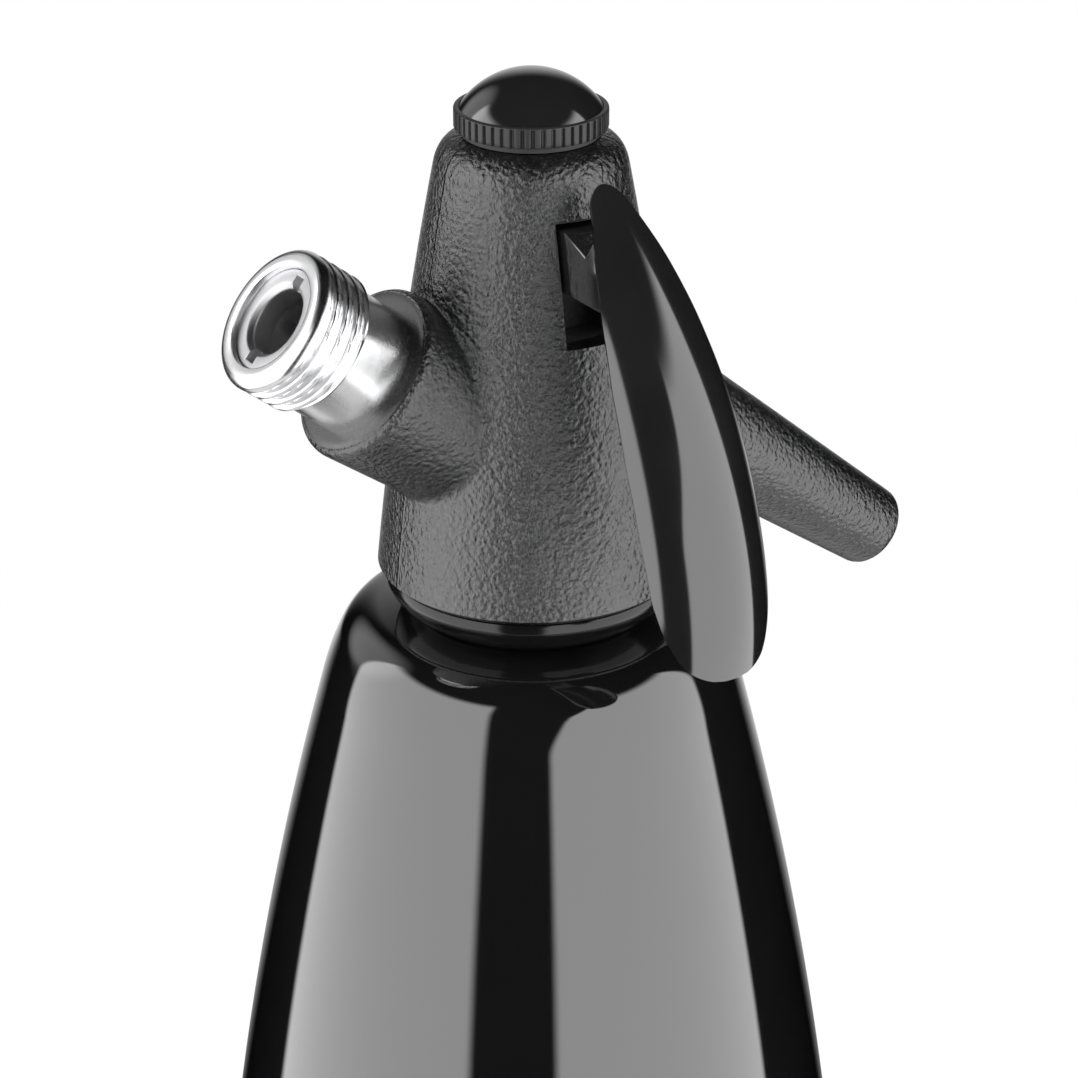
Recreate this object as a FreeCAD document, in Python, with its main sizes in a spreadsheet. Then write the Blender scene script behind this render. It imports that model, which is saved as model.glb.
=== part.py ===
import FreeCAD, Part
import math
import os

import Sketcher
from FreeCAD import Placement, Rotation, Vector

# Soda siphon. Origin at the middle of the bottle's foot, +Z up, millimetres.
# The lever faces -Y, the spout points to +X and the charger nipple to -X.

os.makedirs("parts", exist_ok=True)
doc = FreeCAD.newDocument("soda_siphon")
sheet = doc.addObject("Spreadsheet::Sheet", "Sizes")

# Driving dimensions: word, value
SIZES = [
    # bottle
    ("foot_inner_r", 33.0),
    ("foot_outer_r", 38.0),
    ("foot_dish", 6.0),
    ("foot_top_z", 12.0),
    ("belly_low_r", 50.6),
    ("belly_z", 100.0),
    ("belly_r", 50.35),
    ("belly_curve_r", 320.0),
    ("flank_curve_r", 707.0),
    ("foot_curve_r", 14.0),
    ("shoulder_r", 33.2),
    ("shoulder_drop", 20.0),
    ("shoulder_low_curve_r", 43.6),
    ("shoulder_mid_r", 30.3),
    ("shoulder_mid_drop", 12.2),
    ("shoulder_curve_r", 8.3),
    ("shoulder_top_r", 23.7),
    ("shoulder_top_drop", 7.6),
    ("neck_root_drop", 6.6),
    ("neck_r", 17.6),
    ("neck_long", 13.0),
    ("wall", 1.2),
    ("neck_wall", 2.0),
    ("collar_top_r", 23.0),
    ("collar_low_r", 19.2),
    ("collar_curve_r", 7.5),
    ("seat_gap", 0.4),
    # head
    ("head_z", 205.0),
    ("head_r", 24.0),
    ("head_tall", 69.2),
    ("head_top_r", 12.0),
    ("head_flank_top", 66.6),
    ("head_flank_r", 14.1),
    ("head_flank_curve_r", 730.0),
    ("head_shoulder_curve_r", 3.2),
    ("head_rim_chamfer", 0.7),
    ("socket_deep", 16.0),
    ("thread_gap", 0.1),
    ("gasket_thick", 2.0),
    ("gasket_bore_r", 12.0),
    ("tube_r", 4.0),
    ("tube_bore_r", 3.0),
    ("tube_foot_z", 11.0),
    ("tube_top", 24.4),
    ("nut_r", 6.5),
    ("nut_drop", 5.0),
    ("nut_flange_r", 9.0),
    ("nut_flange", 1.4),
    ("fit_gap", 0.05),
    ("run_gap", 0.06),
    ("chamber_r", 6.0),
    ("seat_thick", 2.9),
    ("seal_thick", 2.6),
    ("seal_r", 4.5),
    ("gland_z", 40.0),
    ("gland_r", 6.5),
    ("stem_seal_thick", 2.0),
    ("gland_top", 46.6),
    ("cavity_r", 7.5),
    ("cavity_top", 60.5),
    ("stem_r", 2.0),
    ("stem_top", 63.6),
    ("stem_collar_z", 57.4),
    ("stem_collar_r", 4.4),
    ("stem_collar_thick", 1.6),
    ("spring_r", 4.0),
    ("spring_bore_r", 2.6),
    # cap
    ("cap_bore_r", 8.6),
    ("cap_plug_low", 62.5),
    ("cap_cup_r", 4.6),
    ("cap_cup_top", 68.0),
    ("cap_seal_r", 10.3),
    ("cap_seal_thick", 0.8),
    ("ring_r", 11.41),
    ("ring_tall", 3.2),
    ("ring_web_z", 70.6),
    ("knurl_count", 48.0),
    ("knurl_deep", 0.55),
    ("knurl_half", 0.42),
    ("dome_r", 10.55),
    ("dome_spigot_r", 7.0),
    ("dome_tall", 5.45),
    # charger port, measured along its own axis
    ("port_z", 14.9),
    ("port_tilt", 38.14),
    ("boss_end", 37.1),
    ("boss_r", 13.7),
    ("boss_round", 2.2),
    ("boss_start", 6.0),
    ("boss_start_r", 12.2),
    ("nipple_face", 55.4),
    ("nipple_rim_r", 9.87),
    ("nipple_crest_r", 11.1),
    ("nipple_thread_end", 45.7),
    ("nipple_shank_r", 10.0),
    ("nipple_tail", 29.0),
    ("nipple_tail_r", 8.0),
    ("nipple_bore_r", 5.5),
    ("nipple_recess_r", 8.05),
    ("nipple_pitch", 2.1),
    ("thread_deep", 1.05),
    ("retainer_thick", 4.0),
    ("retainer_sunk", 1.0),
    ("retainer_bore_r", 5.1),
    ("retainer_slot", 2.2),
    ("pin_socket_r", 3.0),
    ("pin_seat", 41.0),
    ("pin_tail", 35.0),
    ("needle_r", 1.2),
    ("needle_tip", 49.2),
    ("needle_bore_r", 0.45),
    ("charger_seal_thick", 2.2),
    ("disc_thick", 1.8),
    ("gas_bore_r", 1.5),
    ("gas_riser_x", 10.0),
    # spout, measured along its own axis
    ("spout_z", 38.7),
    ("spout_tilt", 36.93),
    ("spout_root_r", 10.7),
    ("spout_end_r", 6.75),
    ("spout_long", 83.0),
    ("spout_round", 0.8),
    ("liner_r", 3.6),
    ("liner_bore_r", 2.8),
    ("liner_start", 9.6),
    ("nozzle_r", 4.6),
    ("nozzle_bore_r", 3.2),
    ("nozzle_long", 3.5),
    ("nozzle_sunk", 0.6),
    # lever
    ("slot_wide", 9.6),
    ("slot_low", 41.8),
    ("slot_step", 47.6),
    ("slot_high", 60.2),
    ("slot_deep_y", 10.2),
    ("pivot_y", 10.0),
    ("pivot_z", 54.6),
    ("pivot_r", 1.6),
    ("pin_half", 9.2),
    ("root_wide", 8.2),
    ("fork_gap", 5.4),
    ("blade_thick", 1.7),
    ("blade_curve_r", 12.5),
    ("blade_wide", 20.1),
]

for row, (word, number) in enumerate(SIZES, start=1):
    sheet.set(f"A{row}", word)
    sheet.set(f"B{row}", str(number))
    sheet.setAlias(f"B{row}", word)
doc.recompute()


class Size:
    """A length with its value and the sheet expression that drives it."""

    def __init__(self, text, value):
        self.text = text
        self.value = value

    @staticmethod
    def of(item):
        return item if isinstance(item, Size) else Size(repr(float(item)), float(item))

    def __add__(self, other):
        other = Size.of(other)
        return Size(f"({self.text} + {other.text})", self.value + other.value)

    def __radd__(self, other):
        return Size.of(other) + self

    def __sub__(self, other):
        other = Size.of(other)
        return Size(f"({self.text} - {other.text})", self.value - other.value)

    def __rsub__(self, other):
        return Size.of(other) - self

    def __mul__(self, factor):
        factor = Size.of(factor)
        return Size(f"({self.text} * {factor.text})", self.value * factor.value)

    __rmul__ = __mul__

    def __neg__(self):
        return self * -1.0


class Words:
    """Every cell of the sheet as a Size, by its word."""

    def __init__(self):
        for word, _ in SIZES:
            setattr(self, word, Size(f"Sizes.{word}", float(sheet.get(word))))


w = Words()
ZERO = Size("0", 0.0)


def plane(body, role):
    """One of a body's own origin planes."""
    return next(item for item in body.Origin.OriginFeatures if item.Role == role)


def arc_middle(start, end, radius, side):
    """The middle of the arc between two points, on the left of their chord where side is 1."""
    chord = end - start
    half = chord.Length / 2
    rise = radius - math.sqrt(max(radius * radius - half * half, 0.0))
    left = Vector(-chord.y, chord.x, 0).normalize()
    return (start + end) * 0.5 + left * (rise * side)


def outline_sketch(body, role, corners):
    """A closed sketch. Each corner is (x, y), with (radius, side) after it where an arc arrives."""
    sketch = body.newObject("Sketcher::SketchObject", body.Name + "_outline")
    sketch.AttachmentSupport = [(plane(body, role), "")]
    sketch.MapMode = "FlatFace"
    points = [Vector(Size.of(c[0]).value, Size.of(c[1]).value, 0) for c in corners]
    count = len(corners)
    edges = []
    for index in range(count):
        following = (index + 1) % count
        start, end = points[index], points[following]
        if len(corners[following]) > 2:
            radius, side = corners[following][2], corners[following][3]
            middle = arc_middle(start, end, Size.of(radius).value, side)
            edges.append(Part.Arc(start, middle, end))
        else:
            edges.append(Part.LineSegment(start, end))
    sketch.addGeometry(edges, False)
    ends = []
    for index in range(count):
        start_is_first = True
        if len(corners[(index + 1) % count]) > 2:
            first = sketch.getPoint(index, 1)
            start_is_first = first.distanceToPoint(points[index]) < 1e-6
        ends.append((1, 2) if start_is_first else (2, 1))
    for index in range(count):
        following = (index + 1) % count
        joint = Sketcher.Constraint("Coincident", index, ends[index][1], following, ends[following][0])
        sketch.addConstraint(joint)
    for index, corner in enumerate(corners):
        end = ends[index][0]
        for axis, size, kind in ((-2, corner[0], "DistanceX"), (-1, corner[1], "DistanceY")):
            size = Size.of(size)
            if size.text == "0" or size.text == "0.0":
                sketch.addConstraint(Sketcher.Constraint("PointOnObject", index, end, axis))
                continue
            number = sketch.addConstraint(Sketcher.Constraint(kind, -1, 1, index, end, size.value))
            name = f"{kind}_{index}"
            sketch.renameConstraint(number, name)
            sketch.setExpression(f"Constraints.{name}", size.text)
    for index in range(count):
        corner = corners[(index + 1) % count]
        if len(corner) > 2:
            radius = Size.of(corner[2])
            number = sketch.addConstraint(Sketcher.Constraint("Radius", index, radius.value))
            sketch.renameConstraint(number, f"Radius_{index}")
            sketch.setExpression(f"Constraints.Radius_{index}", radius.text)
    return sketch


def turned(name, corners, placement=None):
    """A piece turned about its own Z axis from an outline of (radius, height) corners."""
    body = doc.addObject("PartDesign::Body", name)
    sketch = outline_sketch(body, "XZ_Plane", corners)
    turn = body.newObject("PartDesign::Revolution", name + "_turn")
    turn.Profile = sketch
    turn.ReferenceAxis = (sketch, ["V_Axis"])
    turn.Angle = 360
    sketch.Visibility = False
    body.Tip = turn
    if placement is not None:
        body.Placement = placement
    return body


def slab(name, role, corners, thick, placement=None):
    """A flat piece: an outline padded by its thickness, half to each side."""
    body = doc.addObject("PartDesign::Body", name)
    sketch = outline_sketch(body, role, corners)
    pad = body.newObject("PartDesign::Pad", name + "_pad")
    pad.Profile = sketch
    pad.Midplane = True
    pad.setExpression("Length", Size.of(thick).text)
    body.Tip = pad
    if placement is not None:
        body.Placement = placement
    return body


def ring(name, inner, outer, low, high, placement=None):
    """A plain ring or, with no inner radius, a disc."""
    return turned(name, [(inner, low), (outer, low), (outer, high), (inner, high)], placement)


def united(name, pieces):
    """Pieces made as one."""
    fuse = doc.addObject("Part::MultiFuse", name)
    fuse.Shapes = pieces
    return fuse


def less(name, base, tools):
    """A piece with others taken out of it."""
    cut = doc.addObject("Part::Cut", name)
    cut.Base = base
    cut.Tool = tools[0] if len(tools) == 1 else united(name + "_tools", tools)
    return cut


H = w.head_z
PORT_DIRECTION = Vector(
    -math.cos(math.radians(w.port_tilt.value)), 0, math.sin(math.radians(w.port_tilt.value))
)
SPOUT_DIRECTION = Vector(
    math.cos(math.radians(w.spout_tilt.value)), 0, -math.sin(math.radians(w.spout_tilt.value))
)
UP = Vector(0, 0, 1)
port_place = Placement(Vector(0, 0, H.value + w.port_z.value), Rotation(UP, PORT_DIRECTION))
spout_place = Placement(Vector(0, 0, H.value + w.spout_z.value), Rotation(UP, SPOUT_DIRECTION))
axle_place = Placement(
    Vector(0, -w.pivot_y.value, H.value + w.pivot_z.value), Rotation(UP, Vector(1, 0, 0))
)


def make_bottle():
    """The lacquered bottle: dished foot, long belly and flank, shoulder and neck."""
    t = w.wall
    neck_top = H + w.neck_long
    neck_bore = w.neck_r - w.neck_wall
    return turned("bottle", [
        (ZERO, w.foot_dish),
        (w.foot_inner_r - 6.0, w.foot_dish - 1.0),
        (w.foot_inner_r, ZERO),
        (w.foot_outer_r, ZERO),
        (w.belly_low_r, w.foot_top_z, w.foot_curve_r, -1),
        (w.belly_r, w.belly_z, w.belly_curve_r, -1),
        (w.shoulder_r, H - w.shoulder_drop, w.flank_curve_r, -1),
        (w.shoulder_mid_r, H - w.shoulder_mid_drop, w.shoulder_low_curve_r, -1),
        (w.shoulder_top_r, H - w.shoulder_top_drop, w.shoulder_curve_r, -1),
        (w.neck_r, H - w.neck_root_drop),
        (w.neck_r, neck_top),
        (neck_bore, neck_top),
        (neck_bore, H - w.neck_root_drop - t),
        (w.shoulder_top_r - t * 0.2, H - w.shoulder_top_drop - t),
        (w.shoulder_mid_r - t * 0.85, H - w.shoulder_mid_drop - t * 0.5, w.shoulder_curve_r - t, 1),
        (w.shoulder_r - t, H - w.shoulder_drop, w.shoulder_low_curve_r - t, 1),
        (w.belly_r - t, w.belly_z, w.flank_curve_r - t, 1),
        (w.belly_low_r - t, w.foot_top_z + t * 0.3, w.belly_curve_r - t, 1),
        (w.foot_outer_r - t * 0.3, t, w.foot_curve_r - t, 1),
        (w.foot_inner_r + t * 0.3, t),
        (w.foot_inner_r - 6.0 + t * 0.3, w.foot_dish - 1.0 + t),
        (ZERO, w.foot_dish + t),
    ])


def make_collar():
    """The gloss collar that closes the step between the bottle and the head."""
    bore = w.neck_r + w.fit_gap
    low = H - w.neck_root_drop + 0.05
    return turned("neck_collar", [
        (bore, low),
        (w.collar_low_r, low),
        (w.collar_top_r, H - w.seat_gap - 1.2, w.collar_curve_r, -1),
        (w.collar_top_r, H - w.seat_gap),
        (bore, H - w.seat_gap),
    ])


def make_head():
    """The moulded head with its charger boss and its spout, and everything bored in it."""
    shell = turned("head_shell", [
        (ZERO, H),
        (w.head_r - w.head_rim_chamfer, H),
        (w.head_r, H + w.head_rim_chamfer),
        (w.head_flank_r, H + w.head_flank_top, w.head_flank_curve_r, -1),
        (w.head_top_r, H + w.head_tall, w.head_shoulder_curve_r, -1),
        (ZERO, H + w.head_tall),
    ])
    boss = turned("boss", [
        (ZERO, w.boss_start),
        (w.boss_start_r, w.boss_start),
        (w.boss_r, w.boss_end - w.boss_round),
        (w.boss_r - w.boss_round, w.boss_end, w.boss_round, -1),
        (ZERO, w.boss_end),
    ], port_place)
    spout = turned("spout", [
        (ZERO, ZERO),
        (w.spout_root_r, ZERO),
        (w.spout_end_r, w.spout_long - w.spout_round),
        (w.spout_end_r - w.spout_round, w.spout_long),
        (ZERO, w.spout_long),
    ], spout_place)
    solid = united("head_solid", [shell, boss, spout])

    socket_r = w.neck_r + w.thread_gap
    ceiling = H + w.socket_deep
    throat = H + w.tube_top
    bores = turned("axis_bores", [
        (ZERO, H - 1.0),
        (socket_r, H - 1.0),
        (socket_r, ceiling),
        (w.tube_r + w.fit_gap, ceiling),
        (w.tube_r + w.fit_gap, throat),
        (w.chamber_r, throat),
        (w.chamber_r, H + w.gland_z),
        (w.gland_r + w.fit_gap, H + w.gland_z),
        (w.gland_r + w.fit_gap, H + w.gland_top),
        (w.cavity_r, H + w.gland_top),
        (w.cavity_r, H + w.cavity_top),
        (w.cap_bore_r, H + w.cavity_top),
        (w.cap_bore_r, H + w.head_tall + 1.0),
        (ZERO, H + w.head_tall + 1.0),
    ])
    mid_slot = slab("slot_upper", "XZ_Plane", [
        (w.slot_wide * -0.5, H + w.slot_step),
        (w.slot_wide * 0.5, H + w.slot_step),
        (w.slot_wide * 0.5, H + w.slot_high),
        (w.slot_wide * -0.5, H + w.slot_high),
    ], w.head_r, Placement(Vector(0, -w.head_r.value / 2, 0), Rotation()))
    low_slot = slab("slot_lower", "XZ_Plane", [
        (w.slot_wide * -0.5, H + w.slot_low),
        (w.slot_wide * 0.5, H + w.slot_low),
        (w.slot_wide * 0.5, H + w.slot_step + 0.5),
        (w.slot_wide * -0.5, H + w.slot_step + 0.5),
    ], w.head_r, Placement(Vector(0, -w.slot_deep_y.value - w.head_r.value / 2, 0), Rotation()))
    pin_hole = ring("pin_hole", ZERO, w.pivot_r + w.fit_gap, -w.pin_half, w.pin_half, axle_place)
    nipple_seat = turned("nipple_seat", [
        (ZERO, w.nipple_tail - 2.5),
        (w.gas_bore_r + 1.0, w.nipple_tail - 2.5),
        (w.gas_bore_r + 1.0, w.nipple_tail),
        (w.nipple_tail_r + w.fit_gap, w.nipple_tail),
        (w.nipple_tail_r + w.fit_gap, w.boss_end + 1.0),
        (ZERO, w.boss_end + 1.0),
    ], port_place)
    riser_end = w.gas_riser_x * (1.0 / math.cos(math.radians(w.port_tilt.value)))
    gas_slope = ring("gas_slope", ZERO, w.gas_bore_r, riser_end, w.nipple_tail, port_place)
    slope_height = w.gas_riser_x.value * math.tan(math.radians(w.port_tilt.value))
    gas_riser = ring(
        "gas_riser", ZERO, w.gas_bore_r, ceiling - 1.0, H + w.port_z + slope_height,
        Placement(Vector(-w.gas_riser_x.value, 0, 0), Rotation()),
    )
    spout_bore = turned("spout_bore", [
        (ZERO, w.liner_start * 0.3),
        (w.liner_bore_r, w.liner_start * 0.3),
        (w.liner_bore_r, w.liner_start),
        (w.liner_r + w.fit_gap, w.liner_start),
        (w.liner_r + w.fit_gap, w.spout_long - w.nozzle_long - w.nozzle_sunk),
        (w.nozzle_r + w.fit_gap, w.spout_long - w.nozzle_long - w.nozzle_sunk),
        (w.nozzle_r + w.fit_gap, w.spout_long + 1.0),
        (ZERO, w.spout_long + 1.0),
    ], spout_place)
    return less("head_body", solid, [
        bores, mid_slot, low_slot, pin_hole, nipple_seat, gas_slope, gas_riser, spout_bore,
    ])


def make_core():
    """The seals, tube and valve pieces stacked on the siphon's axis."""
    socket_r = w.neck_r + w.thread_gap
    neck_top = H + w.neck_long
    gasket_top = neck_top + w.gasket_thick
    ceiling = H + w.socket_deep
    throat = H + w.tube_top
    seat_top = throat + w.seat_thick
    collar_z = H + w.stem_collar_z
    spring_low = collar_z + w.stem_collar_thick
    return [
        ring("head_gasket", w.gasket_bore_r, socket_r - 0.4, neck_top, gasket_top),
        ring("slip_washer", w.gasket_bore_r, socket_r - 0.4, gasket_top, ceiling),
        ring("dip_tube", w.tube_bore_r, w.tube_r, w.tube_foot_z, throat),
        turned("tube_nut", [
            (w.tube_r + w.fit_gap, ceiling - w.nut_drop),
            (w.nut_r, ceiling - w.nut_drop),
            (w.nut_r, ceiling - w.nut_flange),
            (w.nut_flange_r, ceiling - w.nut_flange),
            (w.nut_flange_r, ceiling),
            (w.tube_r + w.fit_gap, ceiling),
        ]),
        turned("valve_seat", [
            (w.tube_bore_r, throat),
            (w.chamber_r - w.fit_gap, throat),
            (w.chamber_r - w.fit_gap, seat_top - 0.6),
            (w.tube_bore_r + 0.6, seat_top),
            (w.tube_bore_r, seat_top),
        ]),
        ring("valve_seal", ZERO, w.seal_r, seat_top, seat_top + w.seal_thick),
        turned("valve_stem", [
            (ZERO, seat_top + w.seal_thick),
            (w.seal_r - 0.3, seat_top + w.seal_thick),
            (w.seal_r - 0.3, seat_top + w.seal_thick + 1.2),
            (w.stem_r, seat_top + w.seal_thick + 1.2),
            (w.stem_r, collar_z),
            (w.stem_collar_r, collar_z),
            (w.stem_collar_r, spring_low),
            (w.stem_r, spring_low),
            (w.stem_r, H + w.stem_top - 0.5),
            (w.stem_r - 0.5, H + w.stem_top),
            (ZERO, H + w.stem_top),
        ]),
        ring("stem_seal", w.stem_r + w.run_gap, w.gland_r - 0.1, H + w.gland_z,
             H + w.gland_z + w.stem_seal_thick),
        ring("gland_bush", w.stem_r + w.run_gap, w.gland_r, H + w.gland_z + w.stem_seal_thick,
             H + w.gland_top),
        ring("valve_spring", w.spring_bore_r, w.spring_r, spring_low, H + w.cap_cup_top),
    ]


def make_cap():
    """The knurled cap with its threaded plug, the gloss dome and the seal below."""
    low = H + w.cap_plug_low
    plug_r = w.cap_bore_r - w.run_gap
    web = H + w.head_tall + w.cap_seal_thick
    top = web + w.ring_tall
    seat = H + w.ring_web_z
    cap = turned("cap_ring", [
        (ZERO, H + w.cap_cup_top),
        (w.cap_cup_r, H + w.cap_cup_top),
        (w.cap_cup_r, low),
        (plug_r - 0.6, low),
        (plug_r, low + 0.6),
        (plug_r, web),
        (w.ring_r - 0.3, web),
        (w.ring_r, web + 0.3),
        (w.ring_r, top - 0.3),
        (w.ring_r - 0.3, top),
        (w.dome_r + w.fit_gap, top),
        (w.dome_r + w.fit_gap, top - 0.5),
        (w.dome_spigot_r + w.fit_gap, top - 0.5),
        (w.dome_spigot_r + w.fit_gap, seat),
        (ZERO, seat),
    ])
    base = cap.Tip
    tooth = outline_sketch(cap, "XY_Plane", [
        (w.ring_r - w.knurl_deep, ZERO),
        (w.ring_r + 0.3, -w.knurl_half),
        (w.ring_r + 0.3, w.knurl_half),
    ])
    tooth.Label = "knurl_groove"
    tooth.AttachmentOffset = Placement(Vector(0, 0, web.value - 0.5), Rotation())
    tooth.setExpression("AttachmentOffset.Base.z", (web - 0.5).text)
    groove = cap.newObject("PartDesign::Pocket", "knurl")
    groove.Profile = tooth
    groove.Reversed = True
    groove.setExpression("Length", (w.ring_tall + 1.0).text)
    doc.recompute()
    pattern = cap.newObject("PartDesign::PolarPattern", "knurl_round")
    pattern.Originals = [groove]
    pattern.Axis = (next(o for o in cap.Origin.OriginFeatures if o.Role == "Z_Axis"), [""])
    pattern.Angle = 360
    pattern.setExpression("Occurrences", w.knurl_count.text)
    cap.Tip = pattern
    doc.recompute()
    if pattern.Shape.Volume > base.Shape.Volume - 1.0:
        raise RuntimeError("the knurl cuts nothing")

    dome_curve = w.dome_r * w.dome_r * (0.5 / w.dome_tall.value) + w.dome_tall * 0.5
    dome = turned("cap_dome", [
        (ZERO, seat),
        (w.dome_spigot_r, seat),
        (w.dome_spigot_r, top - 0.5),
        (w.dome_r, top - 0.5),
        (w.dome_r, top),
        (ZERO, top + w.dome_tall, dome_curve, -1),
    ])
    seal = ring("cap_seal", w.cap_bore_r, w.cap_seal_r, H + w.head_tall, web)
    return [cap, dome, seal]


def make_port():
    """The charger nipple with its thread, and the pieces inside it."""
    face = w.nipple_face
    ring_top = face - w.retainer_sunk
    ring_low = ring_top - w.retainer_thick
    nipple = turned("charger_nipple", [
        (w.pin_socket_r + w.fit_gap, w.nipple_tail),
        (w.nipple_tail_r, w.nipple_tail),
        (w.nipple_tail_r, w.boss_end),
        (w.nipple_shank_r, w.boss_end),
        (w.nipple_shank_r, w.nipple_thread_end),
        (w.nipple_crest_r, w.nipple_thread_end + 0.6),
        (w.nipple_crest_r, face - 1.2),
        (w.nipple_rim_r + 0.3, face),
        (w.nipple_recess_r + 0.3, face),
        (w.nipple_recess_r, face - 0.3),
        (w.nipple_recess_r, ring_low),
        (w.nipple_bore_r, ring_low),
        (w.nipple_bore_r, w.pin_seat),
        (w.pin_socket_r + w.fit_gap, w.pin_seat),
    ], port_place)
    plain = nipple.Tip
    groove = outline_sketch(nipple, "XZ_Plane", [
        (w.nipple_crest_r - w.thread_deep, w.nipple_thread_end - w.nipple_pitch * 0.62),
        (w.nipple_crest_r + 0.4, w.nipple_thread_end - w.nipple_pitch * 1.0),
        (w.nipple_crest_r + 0.4, w.nipple_thread_end - w.nipple_pitch * 0.16),
        (w.nipple_crest_r - w.thread_deep, w.nipple_thread_end - w.nipple_pitch * 0.5),
    ])
    groove.Label = "thread_groove"
    doc.recompute()
    helix = nipple.newObject("PartDesign::SubtractiveHelix", "thread")
    helix.Profile = groove
    helix.ReferenceAxis = (groove, ["V_Axis"])
    helix.Mode = 0
    helix.setExpression("Pitch", w.nipple_pitch.text)
    helix.setExpression("Height", (face - w.nipple_thread_end + w.nipple_pitch * 1.5).text)
    nipple.Tip = helix
    doc.recompute()
    if helix.Shape.Volume > plain.Shape.Volume - 1.0:
        raise RuntimeError("the thread cuts nothing")

    blank = ring("retainer_blank", w.retainer_bore_r, w.nipple_recess_r - w.fit_gap, ring_low,
                 ring_top, port_place)
    slots = slab("retainer_slots", "XZ_Plane", [
        (-w.nipple_recess_r + 1.0, ring_top - 1.6),
        (w.nipple_recess_r - 1.0, ring_top - 1.6),
        (w.nipple_recess_r - 1.0, ring_top + 1.0),
        (-w.nipple_recess_r + 1.0, ring_top + 1.0),
    ], w.retainer_slot, port_place)
    retainer = less("pin_retainer", blank, [slots])

    seal_top = w.pin_seat + w.charger_seal_thick
    pierce = turned("piercing_pin", [
        (w.needle_bore_r, w.pin_tail),
        (w.pin_socket_r, w.pin_tail),
        (w.pin_socket_r, w.pin_seat - 0.4),
        (w.needle_r, w.pin_seat - 0.4),
        (w.needle_r, w.needle_tip - 1.8),
        (w.needle_bore_r, w.needle_tip),
    ], port_place)
    seal = ring("charger_seal", w.needle_r + w.fit_gap, w.nipple_bore_r - w.fit_gap, w.pin_seat,
                seal_top, port_place)
    disc = ring("check_disc", w.needle_bore_r, w.pin_socket_r - 0.3, w.pin_tail - w.disc_thick,
                w.pin_tail, port_place)
    return [nipple, retainer, pierce, seal, disc]


def make_spout_parts():
    """The liner tube inside the spout and the nozzle at its end."""
    nozzle_low = w.spout_long - w.nozzle_long - w.nozzle_sunk
    liner = ring("spout_liner", w.liner_bore_r, w.liner_r, w.liner_start, nozzle_low, spout_place)
    nozzle = ring("spout_nozzle", w.nozzle_bore_r, w.nozzle_r, nozzle_low,
                  nozzle_low + w.nozzle_long, spout_place)
    return [liner, nozzle]


# The ridge of the lever's blade: distance in front of the axis, height above the head's foot
BLADE_RIDGE = [(19.4, 66.8), (37.9, 47.8), (50.6, 25.7), (54.9, 3.5)]
# Share of the ridge's run, and the blade's half width there as a share of its full half width
BLADE_WIDTHS = [
    (0.0, 0.09), (0.04, 0.28), (0.09, 0.42), (0.16, 0.58), (0.27, 0.76), (0.4, 0.9),
    (0.55, 0.98), (0.7, 1.0), (0.84, 0.98), (0.92, 0.84), (0.97, 0.55), (1.0, 0.12),
]


def blade_section(middle, along, half_wide):
    """One closed crescent across the blade, convex outwards."""
    across = Vector(1, 0, 0)
    outward = across.cross(along)
    if outward.y > 0:
        outward = outward * -1
    outward.normalize()
    loops = []
    for radius in (w.blade_curve_r.value, w.blade_curve_r.value - w.blade_thick.value):
        centre = middle - outward * w.blade_curve_r.value
        angle = math.asin(min(half_wide / w.blade_curve_r.value, 1.0))
        left = centre + outward * (radius * math.cos(angle)) - across * (radius * math.sin(angle))
        right = centre + outward * (radius * math.cos(angle)) + across * (radius * math.sin(angle))
        loops.append((left, centre + outward * radius, right))
    (a, b, c), (d, e, f) = loops
    return Part.Wire([
        Part.Arc(a, b, c).toShape(),
        Part.LineSegment(c, f).toShape(),
        Part.Arc(f, e, d).toShape(),
        Part.LineSegment(d, a).toShape(),
    ])


def make_lever():
    """The lever: a leaf blade on a forked root that turns on a pin."""
    ridge = Part.BSplineCurve()
    ridge.interpolate([Vector(0, -u, H.value + z) for u, z in BLADE_RIDGE])
    sections = []
    for share, width in BLADE_WIDTHS:
        at = ridge.FirstParameter + share * (ridge.LastParameter - ridge.FirstParameter)
        sections.append(blade_section(ridge.value(at), ridge.tangent(at)[0],
                                      width * w.blade_wide.value / 2))
    blade = doc.addObject("Part::Feature", "blade")
    blade.Shape = Part.makeLoft(sections, True, False)
    root = slab("root", "YZ_Plane", [
        (4.4, H + 54.6),
        (4.4, H + w.stem_collar_z - 1.1),
        (0.0, H + w.stem_collar_z - 0.1),
        (-5.0, H + w.stem_collar_z - 0.1),
        (-7.5, H + 58.6),
        (-16.0, H + 59.2),
        (-21.4, H + 57.2),
        (-23.4, H + 60.0),
        (-26.2, H + 58.8),
        (-33.4, H + 50.6),
        (-31.6, H + 50.1),
        (-11.0, H + 49.6),
        (-6.2, H + 51.2),
    ], w.root_wide)
    fork = slab("fork", "YZ_Plane", [
        (-3.2, H + 48.0),
        (6.0, H + 48.0),
        (6.0, H + 60.0),
        (-3.2, H + 60.0),
    ], w.fork_gap)
    hole = ring("lever_hole", ZERO, w.pivot_r + w.run_gap, -w.pin_half, w.pin_half, axle_place)
    trimmed = less("root_forked", root, [fork, hole])
    lever = united("lever", [blade, trimmed])
    pin = ring("lever_pin", ZERO, w.pivot_r, -w.pin_half + 0.1, w.pin_half - 0.1, axle_place)
    return [lever, pin]


subparts = [make_bottle(), make_collar(), make_head()]
subparts += make_core()
subparts += make_cap()
subparts += make_port()
subparts += make_spout_parts()
subparts += make_lever()

doc.recompute()

for item in doc.Objects:
    if "Invalid" in item.State or "Error" in item.State:
        raise RuntimeError(f"{item.Name} failed: {item.State}")

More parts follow.
